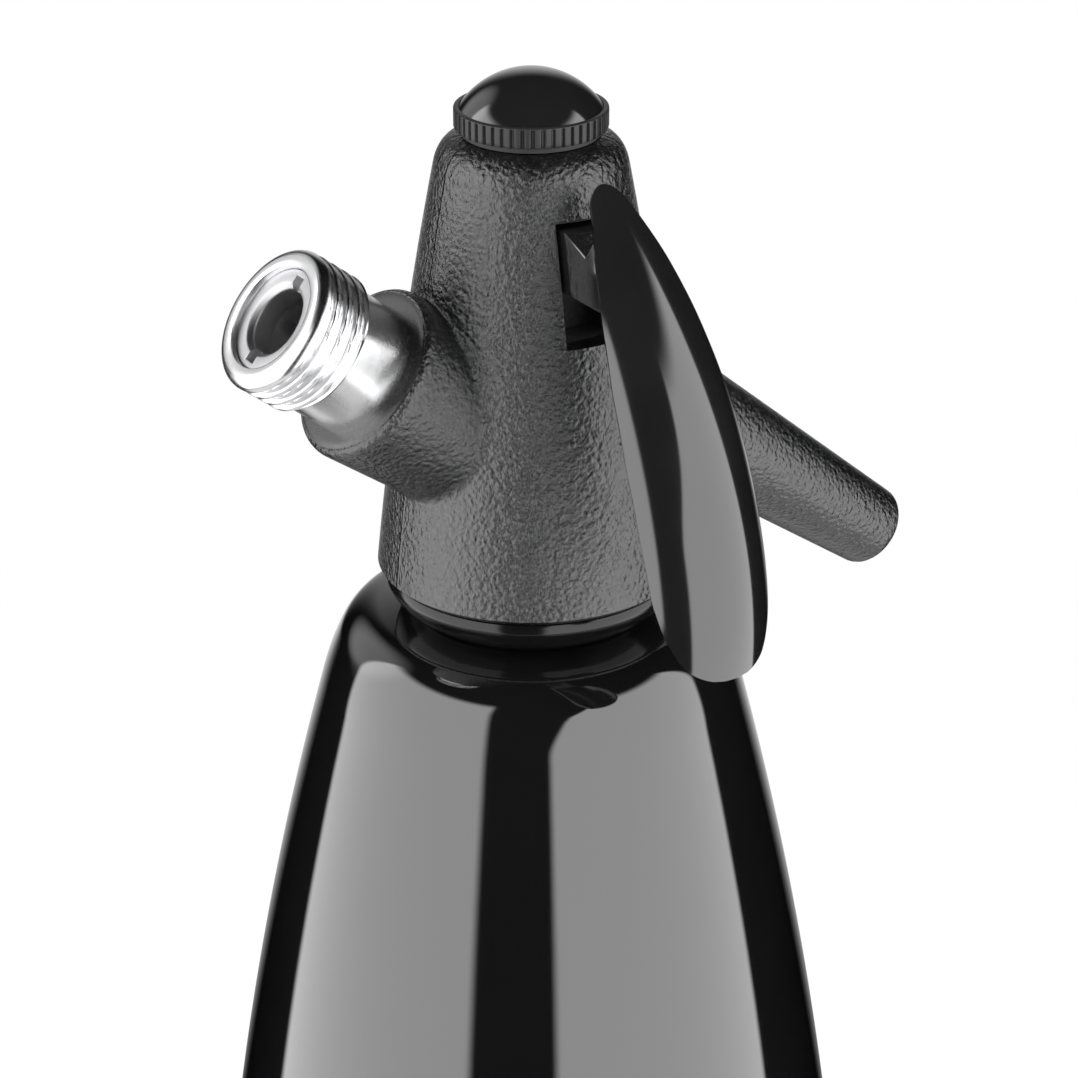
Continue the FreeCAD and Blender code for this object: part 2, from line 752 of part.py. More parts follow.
for item in subparts:
    item.Label = item.Name
    shape = item.Shape
    if shape.isNull() or not shape.isValid() or len(shape.Solids) != 1:
        raise RuntimeError(f"{item.Name} is not one valid solid: {len(shape.Solids)} solids")
    shape.exportStep(f"parts/{item.Name}.step")
    print(item.Name, round(shape.Volume / 1000, 3), "cm3")
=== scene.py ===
"""Looks of a soda siphon: lacquered bottle, grained head, gloss lever, bright charger nipple and knurled cap.

Sizes are in millimetres in the classes and become metres when a mesh is made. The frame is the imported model's
own: origin at the middle of the foot, +Z up, spout to +X, charger nipple to -X, lever to -Y.
"""
import logging
import math
from dataclasses import dataclass, field
from enum import Enum
from typing import Callable, Iterable, Sequence

import bmesh
import bpy
import numpy as np
from mathutils import Matrix, Quaternion, Vector


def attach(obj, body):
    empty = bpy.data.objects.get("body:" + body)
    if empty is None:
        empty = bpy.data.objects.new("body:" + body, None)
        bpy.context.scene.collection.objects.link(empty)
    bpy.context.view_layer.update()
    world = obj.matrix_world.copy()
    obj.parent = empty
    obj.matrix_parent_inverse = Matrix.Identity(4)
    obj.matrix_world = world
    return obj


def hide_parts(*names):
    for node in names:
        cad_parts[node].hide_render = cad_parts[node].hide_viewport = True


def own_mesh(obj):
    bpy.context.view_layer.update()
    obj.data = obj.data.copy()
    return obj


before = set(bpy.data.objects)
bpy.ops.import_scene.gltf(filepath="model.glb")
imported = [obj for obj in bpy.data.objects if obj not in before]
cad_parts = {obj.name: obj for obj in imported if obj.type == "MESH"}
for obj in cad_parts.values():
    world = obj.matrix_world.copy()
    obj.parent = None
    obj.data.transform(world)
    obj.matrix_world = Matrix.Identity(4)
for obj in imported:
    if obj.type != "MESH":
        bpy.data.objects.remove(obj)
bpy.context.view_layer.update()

MM = 0.001
HEAD_Z = 205.0
LOG = logging.getLogger("siphon")

ON_AXIS = 1e-6
CRISP = 34.0

Point = tuple[float, float]
Relief = Callable[[np.ndarray, np.ndarray, np.ndarray], np.ndarray]


class Side(Enum):
    """The side of its chord that an arc bulges to."""

    LEFT = 1
    RIGHT = -1


class Rough(Enum):
    """How polished a moulded or turned surface is, as a shader roughness."""

    MIRROR = 0.045
    GLOSS = 0.09
    SATIN = 0.34
    MATT = 0.55


# Outlines


def arc(start: Point, end: Point, radius: float, side: Side, steps: int = 12) -> list[Point]:
    """The points of an arc after its start, with its end.

    Args:
        start: where the arc begins.
        end: where it ends.
        radius: its radius.
        side: the side of the chord that it bulges to.
        steps: how many chords it becomes.

    Returns:
        The points, in order.
    """
    a, b = np.array(start), np.array(end)
    chord = b - a
    half = float(np.linalg.norm(chord)) / 2
    left = np.array([-chord[1], chord[0]]) / (2 * half)
    centre = (a + b) / 2 - left * side.value * math.sqrt(radius * radius - half * half)
    from_angle = math.atan2(*(a - centre)[::-1])
    to_angle = math.atan2(*(b - centre)[::-1])
    turn = (to_angle - from_angle + math.pi) % (2 * math.pi) - math.pi
    angles = from_angle + turn * np.arange(1, steps + 1) / steps
    return [(float(centre[0] + radius * math.cos(t)), float(centre[1] + radius * math.sin(t))) for t in angles]


def softened(outline: Sequence[Point], radius: float, steps: int = 3) -> list[Point]:
    """An outline with each sharp corner rounded.

    Args:
        outline: a closed outline; a corner on the axis stays sharp.
        radius: the rounding, which shrinks where an edge is short.
        steps: chords in each rounding.

    Returns:
        The rounded outline.
    """
    made: list[Point] = []
    count = len(outline)
    for index, corner in enumerate(outline):
        here = np.array(corner)
        before = np.array(outline[index - 1]) - here
        after = np.array(outline[(index + 1) % count]) - here
        long_a, long_b = float(np.linalg.norm(before)), float(np.linalg.norm(after))
        cosine = float(before @ after) / max(long_a * long_b, 1e-12)
        if corner[0] < ON_AXIS or cosine < -0.94:
            made.append(corner)
            continue
        reach = min(radius, long_a * 0.4, long_b * 0.4)
        one, two = here + before / long_a * reach, here + after / long_b * reach
        for step in range(steps + 1):
            t = step / steps
            spot = one * (1 - t) ** 2 + here * 2 * t * (1 - t) + two * t * t
            made.append((float(spot[0]), float(spot[1])))
    return made


def stepped(start: Point, end: Point, pitch: float) -> list[Point]:
    """Points after start up to end, at most a pitch apart.

    Args:
        start: where they begin; it isn't among them.
        end: the last point.
        pitch: the most between two.

    Returns:
        The points, in order.
    """
    count = max(1, math.ceil(math.dist(start, end) / pitch))
    a, b = np.array(start), np.array(end)
    return [tuple(float(v) for v in a + (b - a) * i / count) for i in range(1, count + 1)]


def along(direction: Vector, crossing_z: float) -> Matrix:
    """The place of a piece whose own Z axis leaves the siphon's axis in a direction.

    Args:
        direction: where the piece's axis points.
        crossing_z: height above the head's foot where it crosses the siphon's axis.

    Returns:
        The placing matrix, in millimetres.
    """
    turn = Vector((0, 0, 1)).rotation_difference(direction)
    return Matrix.Translation((0, 0, HEAD_Z + crossing_z)) @ turn.to_matrix().to_4x4()


PORT_TILT = math.radians(38.14)
SPOUT_TILT = math.radians(36.93)
PORT_Z = 14.9
SPOUT_Z = 38.7
PORT_WAY = Vector((-math.cos(PORT_TILT), 0, math.sin(PORT_TILT)))
SPOUT_WAY = Vector((math.cos(SPOUT_TILT), 0, -math.sin(SPOUT_TILT)))
PORT_PLACE = along(PORT_WAY, PORT_Z)
SPOUT_PLACE = along(SPOUT_WAY, SPOUT_Z)
UPRIGHT = Matrix.Identity(4)


def above_foot(outline: Iterable[Point]) -> list[Point]:
    """An outline with heights from the head's foot, given heights from the bottle's."""
    return [(across, HEAD_Z + height) for across, height in outline]


def side_box(front: float, back: float, low: float, high: float) -> list[Point]:
    """A rectangle in the side view, given heights from the head's foot."""
    return above_foot([(front, low), (back, low), (back, high), (front, high)])


def drilled(start: float, steps: Iterable[Point]) -> list[Point]:
    """The outline of a stepped bore, from where it starts and each step's radius and end.

    Args:
        start: the height at which the bore begins.
        steps: each step's radius and the height where it ends.

    Returns:
        The closed outline.
    """
    outline = [(0.0, start)]
    for radius, end in steps:
        outline += [(radius, start), (radius, end)]
        start = end
    return [*outline, (0.0, start)]


# Meshes


def linked(name: str, data: bpy.types.ID) -> bpy.types.Object:
    """A new object on this data, linked to the scene.

    Args:
        name: the object's name.
        data: its mesh, light or camera.

    Returns:
        The object.
    """
    made = bpy.data.objects.new(name, data)
    bpy.context.scene.collection.objects.link(made)
    return made


def placed(points: np.ndarray, place: Matrix) -> np.ndarray:
    """Points moved from a piece's own frame to the siphon's."""
    matrix = np.array(place)
    return points @ matrix[:3, :3].T + matrix[:3, 3]


def quads(row: int, below: int, columns: int) -> list[list[int]]:
    """The faces between two rings of vertices, given by the rings' numbers.

    Args:
        row: the first ring's number.
        below: the second ring's number.
        columns: vertices in a ring.

    Returns:
        The faces, as vertex numbers.
    """
    faces = []
    for column in range(columns):
        beside = (column + 1) % columns
        high, low = row * columns, below * columns
        faces.append([high + column, high + beside, low + beside, low + column])
    return faces


def tube_faces(rows: int, columns: int) -> list[list[int]]:
    """The faces of a tube made of rings of vertices, closed at both ends.

    Args:
        rows: how many rings.
        columns: vertices in a ring.

    Returns:
        The faces, as vertex numbers.
    """
    faces = [list(range(columns)), [(rows - 1) * columns + i for i in range(columns)]]
    for row in range(rows - 1):
        faces += quads(row, row + 1, columns)
    return faces


def make_object(
    name: str, points: np.ndarray, faces: Iterable[Sequence[int]], sharp: float = CRISP
) -> bpy.types.Object:
    """A smooth-shaded mesh object.

    Args:
        name: the piece's name.
        points: its vertices in millimetres.
        faces: vertex numbers of each face.
        sharp: the angle in degrees above which an edge stays crisp.

    Returns:
        The object, linked to the scene.
    """
    mesh = bpy.data.meshes.new(name)
    mesh.from_pydata((np.asarray(points) * MM).tolist(), [], [list(f) for f in faces])
    mesh.validate()
    tidy = bmesh.new()
    tidy.from_mesh(mesh)
    bmesh.ops.remove_doubles(tidy, verts=tidy.verts, dist=1e-6)
    bmesh.ops.recalc_face_normals(tidy, faces=tidy.faces)
    tidy.to_mesh(mesh)
    tidy.free()
    mesh.shade_smooth()
    mesh.set_sharp_from_angle(angle=math.radians(sharp))
    return linked(name, mesh)


def turned(
    name: str,
    outline: Sequence[Point],
    place: Matrix = UPRIGHT,
    segments: int = 128,
    relief: Relief | None = None,
) -> bpy.types.Object:
    """A piece turned about its own Z axis.

    Args:
        name: the piece's name.
        outline: a closed outline of (radius, height).
        place: where its own frame lies.
        segments: how many steps make a turn.
        relief: what is added to the radius, from angle, radius and height.

    Returns:
        The closed mesh object.
    """
    profile = np.array(outline)
    angle = np.arange(segments) * 2 * math.pi / segments
    radius = np.repeat(profile[:, :1], segments, axis=1)
    height = np.repeat(profile[:, 1:], segments, axis=1)
    turn = np.repeat(angle[None, :], len(profile), axis=0)
    if relief is not None:
        radius = radius + relief(turn, radius, height)
    points = np.stack([radius * np.cos(turn), radius * np.sin(turn), height], axis=-1).reshape(-1, 3)
    faces = []
    for row in range(len(profile)):
        below = (row + 1) % len(profile)
        if max(profile[row, 0], profile[below, 0]) >= ON_AXIS:
            faces += quads(row, below, segments)
    return make_object(name, placed(points, place), faces)


def extruded(name: str, outline: Sequence[Point], half_wide: float, bevel: float, rows: int = 1) -> bpy.types.Object:
    """A flat piece cut from the side view, with its width along X and bevelled edges.

    Args:
        name: the piece's name.
        outline: (y, z) corners.
        half_wide: half its width.
        bevel: the rounding of its edges.
        rows: segments in each bevel.

    Returns:
        The mesh object.
    """
    count = len(outline)
    points = [(x, y, z) for x in (-half_wide, half_wide) for y, z in outline]
    faces = [list(range(count)), list(range(count, 2 * count))]
    faces += [[i, (i + 1) % count, count + (i + 1) % count, count + i] for i in range(count)]
    made = make_object(name, np.array(points), faces)
    shape(made, "BEVEL", width=bevel * MM, segments=rows + 1, limit_method="ANGLE")
    return made


def shape(piece: bpy.types.Object, kind: str, **settings: object) -> None:
    """Adds a modifier to a piece and applies it.

    Args:
        piece: the piece.
        kind: the modifier's type.
        settings: the modifier's attributes.
    """
    modifier = piece.modifiers.new(kind.lower(), kind)
    for word, value in settings.items():
        setattr(modifier, word, value)
    graph = bpy.context.evaluated_depsgraph_get()
    graph.update()
    finished = bpy.data.meshes.new_from_object(piece.evaluated_get(graph))
    old = piece.data
    piece.modifiers.clear()
    piece.data = finished
    bpy.data.meshes.remove(old)


def cut_by(piece: bpy.types.Object, tools: Sequence[bpy.types.Object]) -> None:
    """Takes the tools' solids out of a piece and removes them.

    Args:
        piece: the piece that is cut.
        tools: the solids taken out.
    """
    for tool in tools:
        shape(piece, "BOOLEAN", operation="DIFFERENCE", solver="EXACT", object=tool)
        bpy.data.objects.remove(tool)


def join(name: str, pieces: Sequence[bpy.types.Object]) -> bpy.types.Object:
    """One object that holds the meshes of several.

    Args:
        name: the new object's name.
        pieces: the objects, which are removed.

    Returns:
        The joined object.
    """
    kit = bmesh.new()
    for piece in pieces:
        kit.from_mesh(piece.data)
    mesh = bpy.data.meshes.new(name)
    kit.to_mesh(mesh)
    kit.free()
    for piece in pieces:
        bpy.data.objects.remove(piece)
    mesh.shade_smooth()
    mesh.set_sharp_from_angle(angle=math.radians(CRISP))
    return linked(name, mesh)


# Shaders


class Wire:
    """A shader socket that takes part in Python expressions."""

    def __init__(self, graph: "Graph", socket: bpy.types.NodeSocket) -> None:
        """Keeps the graph and the socket."""
        self.graph = graph
        self.socket = socket

    def _maths(self, operation: str, *values: "Wire | float") -> "Wire":
        """Adds one Math node on these values."""
        return self.graph.add("Math", {"operation": operation}, dict(enumerate(values))).out(0)

    def __add__(self, other: "Wire | float") -> "Wire":
        """This plus other."""
        return self._maths("ADD", self, other)

    __radd__ = __add__

    def __sub__(self, other: "Wire | float") -> "Wire":
        """This less other."""
        return self._maths("SUBTRACT", self, other)

    def __rsub__(self, other: "Wire | float") -> "Wire":
        """Other less this."""
        return self._maths("SUBTRACT", other, self)

    def __mul__(self, other: "Wire | float") -> "Wire":
        """This times other."""
        return self._maths("MULTIPLY", self, other)

    __rmul__ = __mul__

    def size(self) -> "Wire":
        """Its value without its sign."""
        return self._maths("ABSOLUTE", self)

    def wave(self) -> "Wire":
        """Its sine."""
        return self._maths("SINE", self)

    def between(self, low: float, high: float) -> "Wire":
        """0 below low, 1 above high and smooth between."""
        sockets = {"Value": self, "From Min": low, "From Max": high}
        return self.graph.add("MapRange", {"interpolation_type": "SMOOTHSTEP"}, sockets).out(0)

    def within(self, rise: Point, fall: Point) -> "Wire":
        """1 inside a span, fading in over one range and out over another."""
        return self.between(*rise) * (1.0 - self.between(*fall))


class Built:
    """A node just added, whose outputs are read as wires."""

    def __init__(self, graph: "Graph", node: bpy.types.Node) -> None:
        """Keeps the graph and the node."""
        self.graph = graph
        self.node = node

    def out(self, which: int | str = 0) -> Wire:
        """One of the node's outputs."""
        return Wire(self.graph, self.node.outputs[which])


class Graph:
    """The node tree of one material or of the world."""

    def __init__(self, owner: bpy.types.Material | bpy.types.World) -> None:
        """Empties the owner's node tree.

        Args:
            owner: the material or the world.
        """
        owner.use_nodes = True
        self.tree = owner.node_tree
        self.tree.nodes.clear()

    def add(self, kind: str, settings: dict | None = None, sockets: dict | None = None) -> Built:
        """Adds a shader node.

        Args:
            kind: the node's type without its ShaderNode prefix.
            settings: attributes set first.
            sockets: a value or a wire for each named or numbered input.

        Returns:
            The node.
        """
        node = self.tree.nodes.new("ShaderNode" + kind)
        for word, value in (settings or {}).items():
            setattr(node, word, value)
        for word, value in (sockets or {}).items():
            if isinstance(value, Wire):
                self.tree.links.new(value.socket, node.inputs[word])
            else:
                node.inputs[word].default_value = value
        return Built(self, node)

    def vector(self, operation: str, *values: "Wire | tuple", out: int | str = 0) -> Wire:
        """Adds one Vector Math node on these values."""
        return self.add("VectorMath", {"operation": operation}, dict(enumerate(values))).out(out)

    def place(self) -> Wire:
        """The piece's own coordinates, in metres."""
        return self.add("TexCoord").out("Object")

    def axis(self, name: str) -> Wire:
        """One of the piece's own coordinates."""
        return self.add("SeparateXYZ", None, {0: self.place()}).out(name)

    def reach(self, way: Vector, origin: Vector) -> Wire:
        """How far a point lies along a direction from an origin, in millimetres."""
        moved = self.vector("SUBTRACT", self.place(), tuple(origin * MM))
        return self.vector("DOT_PRODUCT", moved, tuple(way), out="Value") * (1 / MM)

    def aside(self, way: Vector, origin: Vector) -> Wire:
        """How far a point lies from the line through an origin along a direction, in millimetres.

        Args:
            way: the line's direction.
            origin: a point on it, in millimetres.

        Returns:
            The distance.
        """
        moved = self.vector("SUBTRACT", self.place(), tuple(origin * MM))
        cross = self.vector("CROSS_PRODUCT", moved, tuple(way))
        return self.vector("LENGTH", cross, out="Value") * (1 / MM)

    def noise(self, per_metre: float, detail: float = 3.0, roughness: float = 0.5) -> Wire:
        """Cloudy noise from 0 to 1."""
        sockets = {"Vector": self.place(), "Scale": per_metre, "Detail": detail, "Roughness": roughness}
        return self.add("TexNoise", None, sockets).out(0)

    def blend(self, share: Wire, low: Sequence[float], high: Sequence[float]) -> Wire:
        """A colour between two."""
        return self.add("Mix", {"data_type": "RGBA"}, {0: share, 6: (*low, 1.0), 7: (*high, 1.0)}).out(2)

    def bump(self, height: Wire, depth_mm: float, strength: float = 1.0) -> Wire:
        """A normal from a height that runs from 0 to 1 over a depth."""
        return self.add("Bump", None, {"Strength": strength, "Distance": depth_mm * MM, "Height": height}).out(0)

    def surface(self, **sockets: object) -> None:
        """Ends a material with one Principled shader, whose socket names have _ for a space.

        Args:
            sockets: a value or a wire for each of the shader's sockets.
        """
        named = {word.replace("_", " "): value for word, value in sockets.items()}
        shader = self.add("BsdfPrincipled", None, named)
        self.add("OutputMaterial", None, {"Surface": shader.out(0)})


@dataclass(frozen=True)
class Finish:
    """A finish that makes its material once."""

    name: str

    def paint(self, graph: Graph) -> None:
        """Fills the material's nodes."""
        raise NotImplementedError

    def material(self) -> bpy.types.Material:
        """The finish's material, made on first use.

        Returns:
            The material.
        """
        found = bpy.data.materials.get(self.name)
        if found is None:
            found = bpy.data.materials.new(self.name)
            self.paint(Graph(found))
        return found


@dataclass(frozen=True)
class Lacquer(Finish):
    """Deep black lacquer under a clear coat, with a faint orange peel."""

    peel: float = 0.012

    def paint(self, graph: Graph) -> None:
        """Black, mirror smooth, with slight unevenness and a few dust specks.

        Args:
            graph: the material's empty graph.
        """
        cloud = graph.noise(28.0, 2.0)
        speck = graph.noise(2600.0, 1.0).between(0.74, 0.8)
        graph.surface(
            Base_Color=graph.blend(cloud, (0.0035, 0.0035, 0.0038), (0.006, 0.006, 0.0062)),
            Roughness=Rough.MIRROR.value + cloud * 0.03 + speck * 0.12,
            IOR=1.55,
            Coat_Weight=1.0,
            Coat_Roughness=0.035,
            Coat_IOR=1.75,
            Normal=graph.bump(graph.noise(330.0, 1.0), self.peel, 0.35),
        )


@dataclass(frozen=True)
class LeatherGrain(Finish):
    """Black moulding with a coarse leather grain, smooth on its turned and cut faces."""

    cells: float = 1150.0
    sway_cells: float = 1300.0
    sway: float = 0.0008
    lumps: float = 1900.0
    depth: float = 0.34
    boss_face: Point = (36.8, 37.0)
    boss_edge: Point = (14.0, 14.6)
    slot_mouth: Point = (-16.0, -14.8)
    slot_back: Point = (7.6, 8.0)
    slot_side: Point = (4.9, 4.95)
    slot_floor: Point = (HEAD_Z + 41.6, HEAD_Z + 41.7)
    slot_roof: Point = (HEAD_Z + 60.3, HEAD_Z + 60.4)
    mould_line: Point = (0.05, 0.4)

    def paint(self, graph: Graph) -> None:
        """Rounded pebbles, glossier on top, with painted shade darkening the valleys' colour, and a fine mould line.

        Args:
            graph: the material's empty graph.
        """
        place = graph.place()
        sway = graph.add("TexNoise", None, {"Vector": place, "Scale": self.sway_cells, "Detail": 2.0}).out(1)
        swing = graph.add("VectorMath", {"operation": "SCALE"}, {0: sway, "Scale": self.sway}).out(0)
        sockets = {"Vector": graph.vector("ADD", place, swing), "Scale": self.cells, "Smoothness": 0.6}
        cell = graph.add("TexVoronoi", {"feature": "SMOOTH_F1"}, sockets).out(0)
        pebble = (1.0 - cell) * 0.62 + graph.noise(self.lumps, 3.0, 0.6) * 0.55
        start = Vector((0, 0, HEAD_Z + PORT_Z))
        near_port = 1.0 - graph.aside(PORT_WAY, start).between(*self.boss_edge)
        faced = graph.reach(PORT_WAY, start).between(*self.boss_face) * near_port
        wide, deep, high = (graph.axis(name) * (1 / MM) for name in "XYZ")
        slot = deep.within(self.slot_mouth, self.slot_back) * high.within(self.slot_floor, self.slot_roof)
        slot = slot * (1.0 - wide.size().between(*self.slot_side))
        line = (1.0 - deep.size().between(*self.mould_line)) * 0.35
        # painted shade: this mask makes the colour darker in the grain's valleys than on the pebble tops, and the
        # tops glossier
        top = pebble.between(0.45, 0.95)
        graph.surface(
            # painted shade in the grain's valleys: darker colour low in the pebbles, lighter on their tops
            Base_Color=graph.blend(top, (0.004, 0.004, 0.0042), (0.012, 0.012, 0.0122)),
            Roughness=0.21 - top * 0.07 + faced * 0.08 + slot * 0.6 + graph.noise(60.0, 2.0) * 0.04,
            IOR=1.88,
            Normal=graph.bump((pebble * (1.0 - slot) + line) * (1.0 - faced), self.depth),
        )


@dataclass(frozen=True)
class Moulded(Finish):
    """A plain moulded plastic or rubber."""

    low: tuple[float, float, float] = (0.006, 0.006, 0.0062)
    high: tuple[float, float, float] = (0.012, 0.012, 0.0122)
    rough: Rough = Rough.GLOSS
    peel: float = 0.01
    coat: float = 0.0

    def paint(self, graph: Graph) -> None:
        """Colour and gloss that drift a little, with the tool's faint marks.

        Args:
            graph: the material's empty graph.
        """
        cloud = graph.noise(70.0, 3.0)
        fine = graph.noise(900.0, 2.0)
        graph.surface(
            Base_Color=graph.blend(cloud, self.low, self.high),
            Roughness=self.rough.value + cloud * 0.05 + fine * 0.03,
            IOR=1.5,
            Coat_Weight=self.coat,
            Coat_Roughness=0.04,
            Coat_IOR=1.7,
            Normal=graph.bump(graph.noise(420.0, 2.0), self.peel, 0.4),
        )


@dataclass(frozen=True)
class Turned(Finish):
    """Metal turned on a lathe, with rings round the axis that it was turned on."""

    low: tuple[float, float, float] = (0.78, 0.78, 0.79)
    high: tuple[float, float, float] = (0.9, 0.9, 0.91)
    rough: float = 0.13
    way: tuple[float, float, float] = (0.0, 0.0, 1.0)
    origin_z: float = 0.0
    ring_pitch: float = 0.11

    def paint(self, graph: Graph) -> None:
        """Fine tool rings, with handling marks that dull the polish.

        Args:
            graph: the material's empty graph.
        """
        reach = graph.reach(Vector(self.way), Vector((0, 0, self.origin_z)))
        jitter = graph.noise(500.0, 2.0) * 0.9
        rings = (reach * (2 * math.pi / self.ring_pitch) + jitter).wave() * 0.5 + 0.5
        smear = graph.noise(180.0, 4.0).between(0.4, 0.7)
        graph.surface(
            Base_Color=graph.blend(smear, self.high, self.low),
            Metallic=1.0,
            Roughness=self.rough + smear * 0.1,
            Normal=graph.bump(rings, 0.006, 0.5),
        )


LACQUER = Lacquer("bottle lacquer")
GRAIN = LeatherGrain("leather grain moulding")
GLOSS = Moulded("gloss black moulding", coat=1.0)
COLLAR = Moulded("collar moulding", (0.004, 0.004, 0.004), (0.007, 0.007, 0.007))
SATIN = Moulded("satin black moulding", (0.012, 0.012, 0.012), (0.022, 0.022, 0.022), Rough.SATIN, 0.03)
RUBBER = Moulded("black seal rubber", (0.02, 0.02, 0.02), (0.035, 0.035, 0.035), Rough.MATT, 0.04)
WHITE = Moulded("white inner plastic", (0.7, 0.7, 0.68), (0.8, 0.8, 0.78), Rough.SATIN, 0.02)
TUBE = Moulded("milky tube plastic", (0.66, 0.68, 0.68), (0.76, 0.77, 0.77), Rough.SATIN, 0.02)
ON_PORT = {"way": tuple(PORT_WAY), "origin_z": HEAD_Z + PORT_Z}
NIPPLE_METAL = Turned("bright nipple metal", rough=0.19, **ON_PORT)
RING_METAL = Turned("faced ring metal", (0.44, 0.44, 0.45), (0.56, 0.56, 0.57), 0.42, **ON_PORT)
STEEL = Turned("drawn steel", (0.5, 0.5, 0.51), (0.64, 0.64, 0.65), 0.26)
BRASS = Turned("turned brass", (0.6, 0.43, 0.18), (0.76, 0.58, 0.28), 0.24)


def finish_piece(piece: bpy.types.Object, body: str, nodes: Sequence[str], finish: Finish) -> None:
    """Gives a piece its material and its place among the frame's bodies and nodes.

    Args:
        piece: the piece.
        body: the body that it rides on.
        nodes: the nodes that it stands for.
        finish: its finish.
    """
    piece.data.materials.clear()
    piece.data.materials.append(finish.material())
    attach(piece, body)
    if nodes:
        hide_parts(*nodes)
    LOG.info("%s rides on %s, %d faces", piece.name, body, len(piece.data.polygons))


@dataclass
class Thread:
    """A right-handed screw thread cut into a cylinder."""

    pitch: float
    depth: float
    start: float
    end: float
    fade: float = 0.9

    def relief(self) -> Relief:
        """What the thread takes off the crest radius, by angle and height.

        Returns:
            A function of angle, radius and height.
        """

        def cut(angle: np.ndarray, radius: np.ndarray, height: np.ndarray) -> np.ndarray:
            """The depth of the groove at each point, as a negative length.

            Args:
                angle: turn about the axis, in radians.
                radius: distance from the axis.
                height: height along it.

            Returns:
                What is added to the radius.
            """
            phase = (height / self.pitch - angle / (2 * math.pi)) % 1.0
            flank = np.clip((np.abs(phase - 0.5) * 2 - 0.22) / 0.52, 0, 1)
            groove = 1 - flank * flank * (3 - 2 * flank)
            rise = np.clip((height - self.start) / self.fade, 0, 1)
            fall = np.clip((self.end - height) / self.fade, 0, 1)
            return -self.depth * groove * rise * fall

        return cut


@dataclass
class Bottle:
    """The lacquered bottle and the collar at its neck."""

    foot_inner_r: float = 33.0
    foot_outer_r: float = 38.0
    foot_dish: float = 6.0
    belly_low: Point = (50.6, 12.0)
    belly: Point = (50.35, 100.0)
    shoulder: Point = (33.2, HEAD_Z - 20.0)
    shoulder_mid: Point = (30.3, HEAD_Z - 12.2)
    shoulder_top: Point = (23.7, HEAD_Z - 7.6)
    neck_r: float = 17.6
    neck_root: float = HEAD_Z - 6.6
    neck_top: float = HEAD_Z + 13.0
    wall: float = 1.2
    neck_wall: float = 2.0
    thread: Thread = field(default_factory=lambda: Thread(4.0, 1.1, HEAD_Z + 1.0, HEAD_Z + 12.2))

    def outline(self) -> list[Point]:
        """The bottle's wall, outside and inside.

        Returns:
            A closed outline of (radius, height).
        """
        wall = self.wall
        outer: list[Point] = [(0.0, self.foot_dish), (self.foot_inner_r - 6.0, self.foot_dish - 1.0)]
        outer += [(self.foot_inner_r, 0.35), (self.foot_inner_r + 0.6, 0.0), (self.foot_outer_r, 0.0)]
        outer += arc((self.foot_outer_r, 0.0), self.belly_low, 14.0, Side.RIGHT, 16)
        outer += arc(self.belly_low, self.belly, 320.0, Side.RIGHT, 30)
        outer += arc(self.belly, self.shoulder, 707.0, Side.RIGHT, 30)
        outer += arc(self.shoulder, self.shoulder_mid, 43.6, Side.RIGHT, 12)
        outer += arc(self.shoulder_mid, self.shoulder_top, 8.3, Side.RIGHT, 18)
        outer += [(self.neck_r + 0.4, self.neck_root - 0.1), (self.neck_r, self.neck_root + 0.3)]
        outer += stepped((self.neck_r, self.neck_root + 0.3), (self.neck_r, self.neck_top - 0.5), 0.22)
        outer += [(self.neck_r - 0.15, self.neck_top - 0.15), (self.neck_r - 0.5, self.neck_top)]
        bore = self.neck_r - self.neck_wall
        inner: list[Point] = [(bore + 0.3, self.neck_top), (bore, self.neck_top - 0.3), (bore, self.neck_root - wall)]
        inner += [(self.shoulder_top[0] - 0.3, self.shoulder_top[1] - wall)]
        mid = (self.shoulder_mid[0] - wall, self.shoulder_mid[1] - 0.6)
        inner += arc(inner[-1], mid, 7.1, Side.LEFT, 8)
        inner += arc(mid, (self.shoulder[0] - wall, self.shoulder[1]), 42.4, Side.LEFT, 6)
        inner += arc(inner[-1], (self.belly[0] - wall, self.belly[1]), 706.0, Side.LEFT, 16)
        inner += arc(inner[-1], (self.belly_low[0] - wall, self.belly_low[1] + 0.4), 319.0, Side.LEFT, 16)
        inner += arc(inner[-1], (self.foot_outer_r - 0.4, wall), 12.8, Side.LEFT, 8)
        inner += [(self.foot_inner_r + 0.4, wall), (self.foot_inner_r - 5.6, self.foot_dish - 1.0 + wall)]
        inner += [(0.0, self.foot_dish + wall)]
        return outer + inner

    def build(self) -> None:
        """Makes the bottle and its collar."""
        bottle = turned("bottle_shell", self.outline(), segments=256, relief=self.neck_thread())
        finish_piece(bottle, "bottle", ["bottle"], LACQUER)
        bore = self.neck_r + 0.05
        low, high = self.neck_root + 0.05, HEAD_Z - 0.4
        band: list[Point] = [(bore, low), (19.0, low), (19.2, low + 0.15)]
        band += arc((19.2, low + 0.15), (22.95, high - 1.5), 7.5, Side.RIGHT, 12)
        band += arc((22.95, high - 1.5), (22.7, high - 0.2), 3.0, Side.RIGHT, 6) + [(22.4, high), (bore, high)]
        collar = turned("neck_band", band, segments=192)
        finish_piece(collar, "bottle", ["neck_collar"], COLLAR)

    def neck_thread(self) -> Relief:
        """The thread on the outside of the neck only.

        Returns:
            A function of angle, radius and height.
        """
        cut = self.thread.relief()
        outside = self.neck_r - 0.6

        def relief(angle: np.ndarray, radius: np.ndarray, height: np.ndarray) -> np.ndarray:
            """The neck's groove, and nothing on the other walls."""
            on_neck = (radius > outside) & (height > self.neck_root + 0.4)
            return np.where(on_neck, cut(angle, radius, height), 0.0)

        return relief


